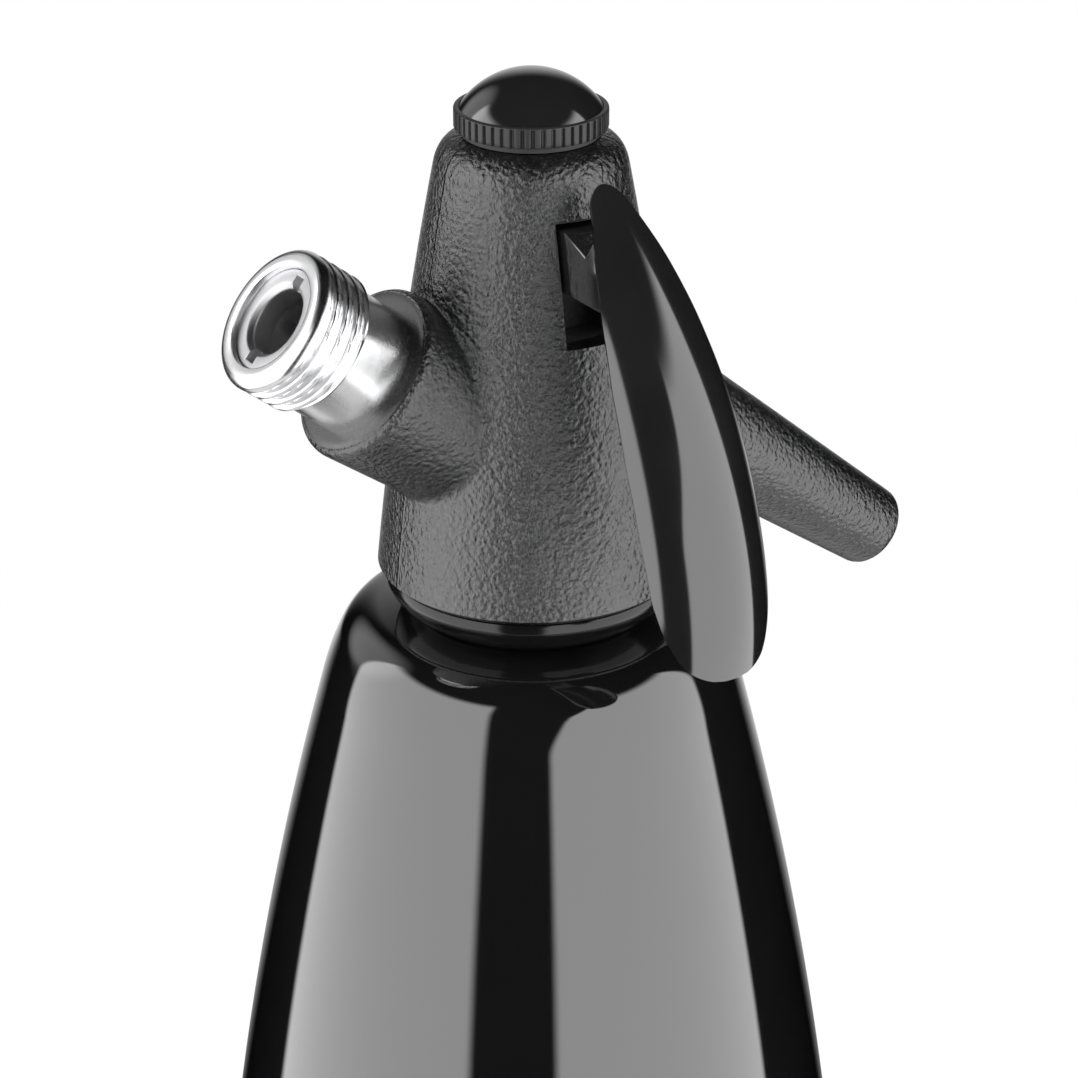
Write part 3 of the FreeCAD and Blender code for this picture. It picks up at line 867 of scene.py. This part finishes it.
@dataclass
class Head:
    """The moulded head with its charger boss and its spout, blended where they meet."""

    foot_r: float = 24.0
    tall: float = 69.2
    flank_top: Point = (14.1, 66.6)
    flank_curve_r: float = 730.0
    boss_end: float = 37.1
    boss_r: float = 13.7
    boss_start: float = 6.0
    boss_start_r: float = 12.2
    boss_round: float = 2.0
    spout_root_r: float = 10.7
    spout_end_r: float = 6.75
    spout_long: float = 82.93
    boss_blend: float = 0.9
    spout_blend: float = 3.0
    grain_step: float = 0.62
    foot_spare: float = 3.0
    foot_chamfer: float = 0.7
    flank_low: float = 0.7
    crown_round: float = 4.6
    tip_round: float = 1.1
    seed_inset: float = 0.3
    passes: int = 6
    probe: float = 0.02
    axis_bore: tuple[Point, ...] = ((17.7, 16.0), (4.05, 24.4), (6.0, 40.0), (6.55, 46.6), (7.5, 60.5), (8.6, 72.0))
    nipple_bore: tuple[Point, ...] = ((2.5, 29.0), (8.05, 39.0))
    spout_bore: tuple[Point, ...] = ((2.8, 9.6), (3.65, 78.9), (4.65, 86.0))
    slot_half: float = 4.8
    slot_bevel: float = 0.25

    @staticmethod
    def smooth_least(a: np.ndarray, b: np.ndarray, reach: float) -> np.ndarray:
        """The lesser of two distances, rounded where they are close."""
        share = np.clip(0.5 + 0.5 * (b - a) / reach, 0, 1)
        return b * (1 - share) + a * share - reach * share * (1 - share)

    def smooth_most(self, a: np.ndarray, b: np.ndarray, reach: float) -> np.ndarray:
        """The greater of two distances, rounded where they are close."""
        return -self.smooth_least(-a, -b, reach)

    def distance(self, spots: np.ndarray) -> np.ndarray:
        """How far points lie outside the head's skin.

        Args:
            spots: points in millimetres, measured from the head's foot.

        Returns:
            The distances, negative inside.
        """
        x, y, z = spots[:, 0], spots[:, 1], spots[:, 2]
        low, high = np.array([self.foot_r, self.flank_low]), np.array(self.flank_top)
        chord = high - low
        half = float(np.linalg.norm(chord)) / 2
        inward = np.array([-chord[1], chord[0]]) / (2 * half)
        centre = (low + high) / 2 + inward * math.sqrt(self.flank_curve_r**2 - half * half)
        flank = np.hypot(np.hypot(x, y) - centre[0], z - centre[1]) - self.flank_curve_r
        body = self.smooth_most(flank, z - self.tall, self.crown_round)
        body = np.maximum(body, -self.foot_spare - z)
        boss_ends = (self.boss_start, self.boss_start_r), (self.boss_end, self.boss_r)
        boss = self.cone(spots, PORT_WAY, PORT_Z, *boss_ends, self.boss_round)
        spout_ends = (0.0, self.spout_root_r), (self.spout_long, self.spout_end_r)
        spout = self.cone(spots, SPOUT_WAY, SPOUT_Z, *spout_ends, self.tip_round)
        body = self.smooth_least(body, boss, self.boss_blend)
        return self.smooth_least(body, spout, self.spout_blend)

    def cone(
        self, spots: np.ndarray, way: Vector, crossing: float, start: Point, end: Point, rounding: float
    ) -> np.ndarray:
        """How far points lie outside a cone that leaves the siphon's axis.

        Args:
            spots: points measured from the head's foot.
            way: the cone's direction.
            crossing: height where it leaves the siphon's axis.
            start: reach and radius at its root.
            end: reach and radius at its end.
            rounding: the rounding of its end.

        Returns:
            The distances, negative inside.
        """
        moved = spots - np.array([0, 0, crossing])
        reach = moved @ np.array(way)
        around = np.linalg.norm(moved - reach[:, None] * np.array(way)[None, :], axis=1)
        slope = (end[1] - start[1]) / (end[0] - start[0])
        side = (around - (start[1] + slope * (reach - start[0]))) / math.hypot(1, slope)
        ended = self.smooth_most(side, reach - end[0], rounding)
        return np.maximum(ended, start[0] - reach)

    def skin(self) -> bpy.types.Object:
        """The outer skin, remeshed from its three solids and drawn onto the blended shape.

        Returns:
            The closed mesh object.
        """
        low = self.seed_inset - self.foot_spare
        head = turned("skin", [(0, low), (self.foot_r - self.seed_inset, low), self.flank_top, (12, 69), (0, 69)])
        for vertex in head.data.vertices:
            vertex.co.z += HEAD_Z * MM
        boss_seed = [(0, self.boss_start), (self.boss_start_r, self.boss_start), (13.5, 36.9), (0, 36.9)]
        boss = turned("boss", boss_seed, PORT_PLACE)
        spout = turned("arm", [(0, 0), (self.spout_root_r, 0), (6.7, 82.8), (0, 82.8)], SPOUT_PLACE)
        whole = join("head_shell", [head, boss, spout])
        shape(whole, "REMESH", mode="VOXEL", voxel_size=self.grain_step * MM)
        spots = np.zeros(len(whole.data.vertices) * 3)
        whole.data.vertices.foreach_get("co", spots)
        spots = spots.reshape(-1, 3) / MM - np.array([0, 0, HEAD_Z])
        for _ in range(self.passes):
            value = self.distance(spots)
            ahead = [self.distance(spots + unit) - self.distance(spots - unit) for unit in self.probe * np.eye(3)]
            slope = np.stack(ahead, axis=1) / (2 * self.probe)
            spots -= slope * (value / np.maximum((slope**2).sum(1), 0.2))[:, None]
        whole.data.vertices.foreach_set("co", ((spots + np.array([0, 0, HEAD_Z])) * MM).ravel())
        whole.data.update()
        return whole

    def bores(self) -> list[bpy.types.Object]:
        """The solids taken out of the head: neck socket, valve bores, lever slot, nipple seat and spout bore.

        Returns:
            The tools, which are removed once they have cut.
        """
        axis = turned("axis_bore", above_foot(drilled(-2.0, self.axis_bore)))
        edge, bevel = self.foot_r, self.foot_chamfer
        outline = [(0, -8), (edge + 4, -8), (edge + 4, bevel + 4), (edge, bevel), (edge - bevel, 0), (0, 0)]
        foot = turned("foot_cut", above_foot(outline), segments=192)
        upper = extruded("slot_upper", side_box(-32, 0, 47.6, 60.2), self.slot_half, self.slot_bevel)
        lower = extruded("slot_lower", side_box(-32, -10.2, 41.8, 48.2), self.slot_half, self.slot_bevel)
        nipple = turned("nipple_seat", drilled(26.5, self.nipple_bore), PORT_PLACE)
        spout = turned("spout_bore", drilled(2.9, self.spout_bore), SPOUT_PLACE)
        return [foot, axis, upper, lower, nipple, spout]

    def build(self) -> None:
        """Makes the head, bored and grained."""
        whole = self.skin()
        cut_by(whole, self.bores())
        whole.data.shade_smooth()
        whole.data.set_sharp_from_angle(angle=math.radians(38))
        finish_piece(whole, "head", ["head_body"], GRAIN)


@dataclass
class Cap:
    """The knurled cap, its gloss dome and its threaded plug."""

    web_z: float = HEAD_Z + 70.0
    ring_r: float = 11.41
    ring_tall: float = 3.2
    dome_r: float = 10.55
    dome_tall: float = 5.45
    spigot_r: float = 7.0
    recess_z: float = HEAD_Z + 70.6
    plug_r: float = 8.54
    plug_low: float = HEAD_Z + 62.5
    teeth: int = 48
    tooth_deep: float = 0.5

    def knurl(self) -> Relief:
        """Rounded teeth between narrow grooves round the ring.

        Returns:
            A function of angle, radius and height.
        """
        top = self.web_z + self.ring_tall
        thread = Thread(1.5, 0.5, self.plug_low + 0.6, self.web_z - 0.6, 0.5).relief()

        def relief(angle: np.ndarray, radius: np.ndarray, height: np.ndarray) -> np.ndarray:
            """The grooves on the ring's rim and the thread on its plug.

            Args:
                angle: turn about the axis, in radians.
                radius: distance from the axis.
                height: height along it.

            Returns:
                What is added to the radius.
            """
            swing = np.cos(angle * self.teeth)
            groove = np.clip((swing - 0.1) / 0.75, 0, 1)
            groove = groove * groove * (3 - 2 * groove)
            inside = np.clip((radius - 10.7) / 0.3, 0, 1)
            lip = np.clip((top - 0.22 - height) / 0.1, 0, 1)
            on_plug = (radius > 8.3) & (radius < 8.6) & (height < self.web_z - 0.2)
            return -self.tooth_deep * groove * inside * lip + np.where(on_plug, thread(angle, radius, height), 0.0)

        return relief

    def ring_outline(self) -> list[Point]:
        """The ring with its fine lip, and the plug below it.

        Returns:
            A closed outline of (radius, height).
        """
        top = self.web_z + self.ring_tall
        rim = self.ring_r
        outline: list[Point] = [(0, HEAD_Z + 68.0), (4.6, HEAD_Z + 68.0), (4.6, self.plug_low)]
        outline += [(self.plug_r - 0.6, self.plug_low), (self.plug_r, self.plug_low + 0.6)]
        outline += stepped((self.plug_r, self.plug_low + 0.6), (self.plug_r, self.web_z), 0.12)
        outline += [(rim - 0.45, self.web_z), (rim - 0.12, self.web_z + 0.14), (rim, self.web_z + 0.4)]
        outline += stepped((rim, self.web_z + 0.4), (rim, top - 0.36), 0.4)
        outline += [(rim - 0.01, top - 0.24), (rim - 0.06, top - 0.1), (rim - 0.2, top - 0.02)]
        outline += [(rim - 0.35, top), (self.dome_r + 0.1, top), (self.dome_r + 0.05, top - 0.05)]
        outline += [(self.dome_r + 0.05, top - 0.5), (self.spigot_r + 0.05, top - 0.5)]
        outline += [(self.spigot_r + 0.05, self.recess_z), (0, self.recess_z)]
        return outline

    def build(self) -> None:
        """Makes the ring and the dome."""
        ring = turned("cap_knurled_ring", self.ring_outline(), segments=self.teeth * 14, relief=self.knurl())
        finish_piece(ring, "cap", ["cap_ring"], SATIN)
        top = self.web_z + self.ring_tall
        curve = (self.dome_r**2 + self.dome_tall**2) / (2 * self.dome_tall)
        dome: list[Point] = [(0, self.recess_z), (self.spigot_r, self.recess_z), (self.spigot_r, top - 0.5)]
        dome += [(self.dome_r - 0.1, top - 0.5), (self.dome_r, top - 0.4), (self.dome_r, top - 0.06)]
        dome += arc((self.dome_r, top - 0.06), (0, top + self.dome_tall), curve, Side.RIGHT, 40)
        cover = turned("cap_gloss_dome", dome, segments=192)
        finish_piece(cover, "cap", ["cap_dome"], GLOSS)


@dataclass
class ChargerPort:
    """The bright nipple with its thread, and the slotted ring in its mouth."""

    face: float = 55.4
    rim_r: float = 9.87
    crest_r: float = 11.1
    shank_r: float = 10.0
    shank_top: float = 45.7
    boss_end: float = 37.1
    tail: float = 29.0
    recess_r: float = 8.05
    bore_r: float = 5.5
    pin_seat: float = 41.0
    ring_bore_r: float = 5.1
    ring_top: float = 54.4
    ring_thick: float = 4.0
    slot_half: float = 1.1
    thread: Thread = field(default_factory=lambda: Thread(2.1, 0.95, 45.9, 54.0, 0.7))

    def nipple_outline(self) -> list[Point]:
        """The nipple's wall from its tail to its rounded rim and down its bore.

        Returns:
            A closed outline of (radius, height).
        """
        outline: list[Point] = [(3.05, self.tail), (8.0, self.tail), (8.0, self.boss_end)]
        outline += [(self.shank_r, self.boss_end), (self.shank_r, self.shank_top - 0.3)]
        outline += [(self.shank_r + 0.1, self.shank_top), (self.crest_r - 0.25, self.shank_top + 0.45)]
        outline += [(self.crest_r, self.shank_top + 0.7)]
        outline += stepped((self.crest_r, self.shank_top + 0.7), (self.crest_r, self.face - 1.5), 0.1)
        outline += arc((self.crest_r, self.face - 1.5), (self.rim_r, self.face - 0.1), 1.6, Side.RIGHT, 8)
        outline += [(self.rim_r - 0.25, self.face), (self.recess_r + 0.35, self.face)]
        outline += [(self.recess_r + 0.08, self.face - 0.1), (self.recess_r, self.face - 0.35)]
        low = self.ring_top - self.ring_thick
        outline += [(self.recess_r, low), (self.bore_r, low), (self.bore_r, self.pin_seat), (3.05, self.pin_seat)]
        return outline

    def build(self) -> None:
        """Makes the nipple and the slotted ring."""
        cut = self.thread.relief()

        def outside(angle: np.ndarray, radius: np.ndarray, height: np.ndarray) -> np.ndarray:
            """The thread on the nipple's outside only."""
            return np.where(radius > self.rim_r + 0.05, cut(angle, radius, height), 0.0)

        nipple = turned("nipple_threaded", self.nipple_outline(), PORT_PLACE, 192, outside)
        finish_piece(nipple, "head", ["charger_nipple"], NIPPLE_METAL)
        low = self.ring_top - self.ring_thick
        edge = self.recess_r - 0.05
        lip = self.ring_bore_r + 0.75
        profile = [(self.ring_bore_r, low), (edge, low), (edge, self.ring_top), (lip, self.ring_top)]
        profile += [(self.ring_bore_r, self.ring_top - 0.75)]
        ring = turned("slotted_ring", softened(profile, 0.25), PORT_PLACE, 128)
        reach, half, top = self.recess_r - 1.0, self.slot_half, self.ring_top
        corners = [(x, y, z) for x in (-reach, reach) for y in (-half, half) for z in (top - 1.6, top + 1)]
        faces = [(0, 1, 3, 2), (4, 5, 7, 6), (0, 1, 5, 4), (2, 3, 7, 6), (0, 2, 6, 4), (1, 3, 7, 5)]
        cut_by(ring, [make_object("ring_slot", placed(np.array(corners), PORT_PLACE), faces)])
        shape(ring, "BEVEL", width=0.12 * MM, segments=2, limit_method="ANGLE", angle_limit=math.radians(50))
        finish_piece(ring, "head", ["pin_retainer"], RING_METAL)


@dataclass
class Lever:
    """The leaf-shaped lever on its forked root."""

    ridge: tuple[Point, ...] = ((19.4, 66.8), (37.9, 47.8), (50.6, 25.7), (54.9, 3.5))
    widths: tuple[Point, ...] = (
        (0.0, 0.2), (0.04, 0.3), (0.09, 0.42), (0.16, 0.58), (0.27, 0.76), (0.4, 0.9),
        (0.55, 0.98), (0.7, 1.0), (0.83, 0.975), (0.9, 0.89), (0.95, 0.75), (0.98, 0.6), (1.0, 0.44),
    )
    full_wide: float = 20.1
    curve_r: float = 12.5
    thick: float = 1.7
    rows: int = 150
    columns: int = 28
    top_round: float = 0.035
    foot_round: float = 0.03
    root_half: float = 4.1
    fork_half: float = 2.7
    root_outline: tuple[Point, ...] = (
        (4.4, 54.6), (4.4, 56.3), (0.0, 57.3), (-5.0, 57.3), (-7.5, 58.6), (-16.0, 59.2), (-21.4, 57.2),
        (-23.4, 60.0), (-26.2, 58.8), (-33.4, 50.6), (-31.6, 50.1), (-11.0, 49.6), (-6.2, 51.2),
    )
    pivot: Point = (-10.0, 54.6)
    pivot_hole_r: float = 1.66

    def shares(self) -> np.ndarray:
        """Where the blade's rows lie from its top to its foot, closer together at both ends."""
        turn = np.linspace(0, 1, self.rows)
        return 0.45 * turn + 0.55 * (1 - np.cos(np.pi * turn)) / 2

    def ridge_points(self) -> tuple[np.ndarray, np.ndarray]:
        """Points down the middle of the blade, and the outward direction at each.

        Returns:
            The points and the directions, as (out, up) pairs.
        """
        knots = np.array(self.ridge)
        steps = np.concatenate([[0], np.cumsum(np.linalg.norm(np.diff(knots, axis=0), axis=1))])
        powers = np.vander(steps, 4, increasing=True)
        weights = np.linalg.solve(powers, knots)
        at = steps[-1] * self.shares()
        spots = np.vander(at, 4, increasing=True) @ weights
        slope = np.stack([np.zeros_like(at), np.ones_like(at), 2 * at, 3 * at**2], axis=1) @ weights
        slope /= np.linalg.norm(slope, axis=1)[:, None]
        return spots, np.stack([-slope[:, 1], slope[:, 0]], axis=1)

    @staticmethod
    def opened(share: np.ndarray, reach: float) -> np.ndarray:
        """A quarter circle that rises from 0 to 1 over a reach."""
        return np.sqrt(np.clip(1 - (1 - np.clip(share / reach, 0, 1)) ** 2, 0, 1))

    def half_widths(self) -> np.ndarray:
        """Half the blade's width at each row, evened out and rounded at both ends.

        Returns:
            A half width for each row, in millimetres.
        """
        share = self.shares()
        known = np.array(self.widths)
        even = np.linspace(0, 1, 401)
        window = (1 - (np.arange(-16, 17) / 16) ** 2) ** 2
        padded = np.pad(np.interp(even, known[:, 0], known[:, 1]), 16, mode="edge")
        smooth = np.interp(share, even, np.convolve(padded, window / window.sum(), mode="valid"))
        ends = self.opened(share, self.top_round) * (0.25 + 0.75 * self.opened(1 - share, self.foot_round))
        return np.maximum(smooth * ends, 0.03) * self.full_wide / 2

    def blade(self) -> bpy.types.Object:
        """The blade's shell: its outer face, its inner face and the rounded rim between them.

        Returns:
            The closed mesh object.
        """
        spots, outward = self.ridge_points()
        half = self.half_widths()
        around = np.linspace(-1, 1, self.columns)
        inner_r = self.curve_r - self.thick
        rim = np.array([0.35, 0.7, 0.9]) * 0.9
        edge = [(self.curve_r - self.thick * t, 1 + 0.035 * math.sin(math.pi * t)) for t in rim]
        ring = [(self.curve_r, side) for side in around] + edge
        ring += [(inner_r, side) for side in around[::-1]] + [(radius, -side) for radius, side in edge[::-1]]
        count = len(ring)
        points = np.zeros((self.rows, count, 3))
        for row in range(self.rows):
            full = math.asin(min(half[row] / self.curve_r, 1.0))
            for column, (radius, side) in enumerate(ring):
                angle = full * side
                up = radius * math.cos(angle) - self.curve_r
                reach, height = spots[row] + outward[row] * up
                points[row, column] = (radius * math.sin(angle), -reach, HEAD_Z + height)
        return make_object("blade", points.reshape(-1, 3), tube_faces(self.rows, count), 50.0)

    def root(self) -> bpy.types.Object:
        """The root from the blade to the fork round the valve stem.

        Returns:
            The mesh object.
        """
        made = extruded("root", above_foot(self.root_outline), self.root_half, 0.35, 2)
        fork = extruded("fork", side_box(-3.2, 6, 48, 60), self.fork_half, 0.05)
        across = Quaternion((0, 1, 0), math.pi / 2).to_matrix().to_4x4()
        pivot = Matrix.Translation((0, self.pivot[0], HEAD_Z + self.pivot[1])) @ across
        hole_r = self.pivot_hole_r
        hole = turned("pivot_hole", [(0, -8), (hole_r, -8), (hole_r, 8), (0, 8)], pivot, 48)
        cut_by(made, [fork, hole])
        return made

    def build(self) -> None:
        """Makes the lever in one piece."""
        lever = join("lever_leaf", [self.blade(), self.root()])
        finish_piece(lever, "lever", ["lever"], GLOSS)


@dataclass
class Inside:
    """The spring under the cap, and the finishes of the pieces carried over from the frame."""

    spring_low: float = HEAD_Z + 59.0
    spring_high: float = HEAD_Z + 68.0
    coil_r: float = 3.3
    wire_r: float = 0.55
    turns: float = 5.5
    wire_sides: int = 12
    closed: float = 0.8
    lift: float = 2.1

    def spring(self) -> None:
        """The valve spring as one wound wire with its end coils closed."""
        steps = int(self.turns * 24)
        wound = np.linspace(0, 1, steps) * self.turns
        low, high = self.spring_low + self.wire_r, self.spring_high - self.wire_r
        eased = np.clip((wound - self.closed) / (self.turns - 2 * self.closed), 0, 1)
        flat = np.minimum(wound, self.closed) + np.clip(wound - self.turns + self.closed, 0, self.closed)
        height = low + 0.9 * self.wire_r * flat + (high - low - 1.5 * self.wire_r) * eased
        turn = (wound * 2 * math.pi)[:, None]
        around = np.arange(self.wire_sides) * 2 * math.pi / self.wire_sides
        reach = self.coil_r + self.wire_r * np.cos(around)
        level = height[:, None] + self.wire_r * np.sin(around)
        points = np.stack([reach * np.cos(turn), reach * np.sin(turn), level], axis=-1)
        coil = make_object("valve_coil", points.reshape(-1, 3), tube_faces(steps, self.wire_sides))
        finish_piece(coil, "head", ["valve_spring"], STEEL)
        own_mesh(coil)

    def dress(self) -> None:
        """Gives each carried-over node its finish."""
        finishes = {
            RUBBER: ("head_gasket", "valve_seal", "stem_seal", "cap_seal", "charger_seal", "check_disc"),
            WHITE: ("slip_washer", "tube_nut"),
            TUBE: ("dip_tube",),
            BRASS: ("valve_seat", "gland_bush"),
            STEEL: ("valve_stem", "piercing_pin", "spout_liner", "lever_pin"),
            SATIN: ("spout_nozzle",),
        }
        for finish, nodes in finishes.items():
            for node in nodes:
                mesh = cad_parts[node].data
                mesh.materials.clear()
                mesh.materials.append(finish.material())
                LOG.info("%s keeps its frame shape in %s", node, finish.name)

    def build(self) -> None:
        """Makes the spring and dresses the rest."""
        self.spring()
        self.dress()


@dataclass(frozen=True)
class TallPanel:
    """A tall soft panel, by the level angles between its sides and the heights of its foot and top."""

    name: str
    start: float
    end: float
    foot: float = 0.02
    top: float = 1.1


@dataclass
class Studio:
    """The pale floor, the two tall soft panels, the top light and the camera."""

    bearing: float = math.radians(31.3)
    distance: float = 420.7
    aside: float = 1.14
    above: float = 205.4
    pitch: float = math.radians(25.69)
    panel_distance: float = 0.9
    panel_radiance: float = 2.1
    left: TallPanel = TallPanel("left_panel", -114.0, -25.0)
    right: TallPanel = TallPanel("right_panel", 10.0, 102.5)
    top_radiance: float = 2.6
    fill: float = 0.5
    lean: float = 34.0
    lean_range: Point = (-0.8, -0.1)
    band_top: Point = (-0.74, -0.62)
    band_foot: Point = (0.66, 0.74)
    behind_range: Point = (0.74, 0.99)
    low_range: Point = (0.18, 0.36)
    straight_range: Point = (150.0, 178.0)
    straight_glow: float = 0.6
    beside_turn: float = -122.0
    beside_rise: float = math.radians(24)
    beside_range: Point = (0.87, 0.98)
    beside_glow: float = 0.65
    under_range: Point = (0.68, 0.84)
    under_glow: float = 0.8
    floor_r: float = 2600.0

    def toward(self, degrees: float) -> Vector:
        """The level direction that many degrees to the right of the way to the camera."""
        turn = math.radians(degrees) - self.bearing
        return Vector((math.sin(turn), -math.cos(turn), 0.0))

    def camera(self) -> None:
        """The camera at the photograph's viewing angle."""
        data = bpy.data.cameras.new("camera")
        data.lens = 100.0
        data.sensor_width = 36.0
        made = linked("camera", data)
        out, right = self.toward(0), self.toward(90)
        made.location = (out * self.distance + right * self.aside + Vector((0, 0, HEAD_Z + self.above))) * MM
        gaze = -out * math.cos(self.pitch) - Vector((0, 0, math.sin(self.pitch)))
        made.rotation_mode = "QUATERNION"
        made.rotation_quaternion = gaze.to_track_quat("-Z", "Y")
        bpy.context.scene.camera = made

    def panel(self, name: str, spot: Vector, size: Point, radiance: float, target: Vector) -> None:
        """A soft rectangular light.

        Args:
            name: its name.
            spot: its middle, in metres.
            size: its width and height, in metres.
            radiance: how bright its face is, where 1 is white.
            target: where it faces.
        """
        data = bpy.data.lights.new(name, "AREA")
        data.shape = "RECTANGLE"
        data.size, data.size_y = size
        data.energy = radiance * math.pi * size[0] * size[1]
        made = linked(name, data)
        made.location = spot
        made.rotation_mode = "QUATERNION"
        made.rotation_quaternion = (target - spot).to_track_quat("-Z", "Y")
        made.visible_camera = False
        made.visible_glossy = False

    def lights(self) -> None:
        """Two tall panels with a dark gap at the camera, and a light overhead."""
        for side in (self.left, self.right):
            half = math.radians(side.end - side.start) / 2
            wide = 2 * self.panel_distance * math.tan(half)
            level = Vector((0, 0, (side.foot + side.top) / 2))
            spot = self.toward((side.start + side.end) / 2) * self.panel_distance + level
            self.panel(side.name, spot, (wide, side.top - side.foot), self.panel_radiance, level)
        overhead = self.toward(0) * 0.25 + Vector((0, 0, 1.15))
        self.panel("top_panel", overhead, (0.9, 0.7), self.top_radiance, Vector((0, 0, 0.2)))

    def world(self) -> None:
        """White for the camera, the panels' bands and a pale surround in reflections, and dim for the rest."""
        world = bpy.data.worlds.new("studio")
        bpy.context.scene.world = world
        graph = Graph(world)
        path = graph.add("LightPath")
        ray = graph.add("TexCoord").out("Generated")

        def toward(way: Vector) -> Wire:
            """How far a ray points along a direction, from -1 to 1."""
            return graph.vector("DOT_PRODUCT", ray, tuple(way), out="Value")

        up = Vector((0, 0, 1))
        down, behind = toward(-up), toward(self.toward(180))
        side = self.toward(self.beside_turn) * math.cos(self.beside_rise) + up * math.sin(self.beside_rise)
        level = {0: toward(self.toward(90)), 1: toward(self.toward(0))}
        turn = graph.add("Math", {"operation": "ARCTAN2"}, level).out(0) * (180 / math.pi)
        lean = self.lean - down.between(*self.lean_range) * self.lean
        left, right = self.left, self.right
        left_band = turn.within((left.start - 2, left.start + 2), (left.end - 2, left.end + 3))
        right_end = 1.0 - turn.between(right.end - 1.5, right.end + 1.5)
        right_band = (turn - lean).between(right.start - 2.5, right.start + 2) * right_end
        bands = (left_band + right_band) * down.within(self.band_top, self.band_foot) * self.panel_radiance
        low = down.between(*self.low_range)
        straight = turn.size().between(*self.straight_range) * self.straight_glow
        glow = behind.between(*self.behind_range) * (low + (1.0 - low) * straight)
        glow = glow + toward(side).between(*self.beside_range) * self.beside_glow
        glow = glow + down.between(*self.under_range) * self.under_glow
        camera = path.out("Is Camera Ray")
        seen = path.out("Is Glossy Ray") + path.out("Is Transmission Ray")
        strength = camera + (bands + glow) * seen + (1.0 - seen) * (1.0 - camera) * self.fill
        shade = graph.add("Background", None, {"Color": (1, 1, 1, 1), "Strength": strength})
        graph.add("OutputWorld", None, {"Surface": shade.out(0)})

    def floor(self) -> None:
        """A wide pale floor that stays white in the camera's view and keeps the shadow."""
        turns = [i * math.pi / 32 for i in range(64)]
        rim = [(self.floor_r * math.cos(turn), self.floor_r * math.sin(turn), 0.0) for turn in turns]
        made = make_object("floor", np.array(rim), [list(range(64))])
        material = bpy.data.materials.new("pale floor")
        graph = Graph(material)
        path = graph.add("LightPath")
        cloud = graph.noise(6.0, 2.0)
        pale = graph.add("BsdfDiffuse", None, {"Color": graph.blend(cloud, (0.84, 0.84, 0.84), (0.88, 0.88, 0.88))})
        glow = graph.add("Emission", None, {"Color": (1, 1, 1, 1), "Strength": 1.0})
        spread = graph.vector("LENGTH", graph.place(), out="Value")
        seen = path.out("Is Camera Ray") * (0.8 + spread.between(0.2, 0.55) * 0.2)
        mixed = graph.add("MixShader", None, {0: seen, 1: pale.out(0), 2: glow.out(0)})
        graph.add("OutputMaterial", None, {"Surface": mixed.out(0)})
        made.data.materials.append(material)
        made.visible_glossy = False

    def build(self) -> None:
        """Sets the whole studio."""
        self.camera()
        self.lights()
        self.world()
        self.floor()
        bpy.context.scene.view_settings.view_transform = "Standard"


def main() -> None:
    """Builds the studio and every sub-assembly."""
    logging.basicConfig(level=logging.INFO, format="%(name)s: %(message)s")
    for part in (Studio(), Bottle(), Head(), Cap(), ChargerPort(), Lever(), Inside()):
        part.build()


if __name__ == "__main__":
    main()
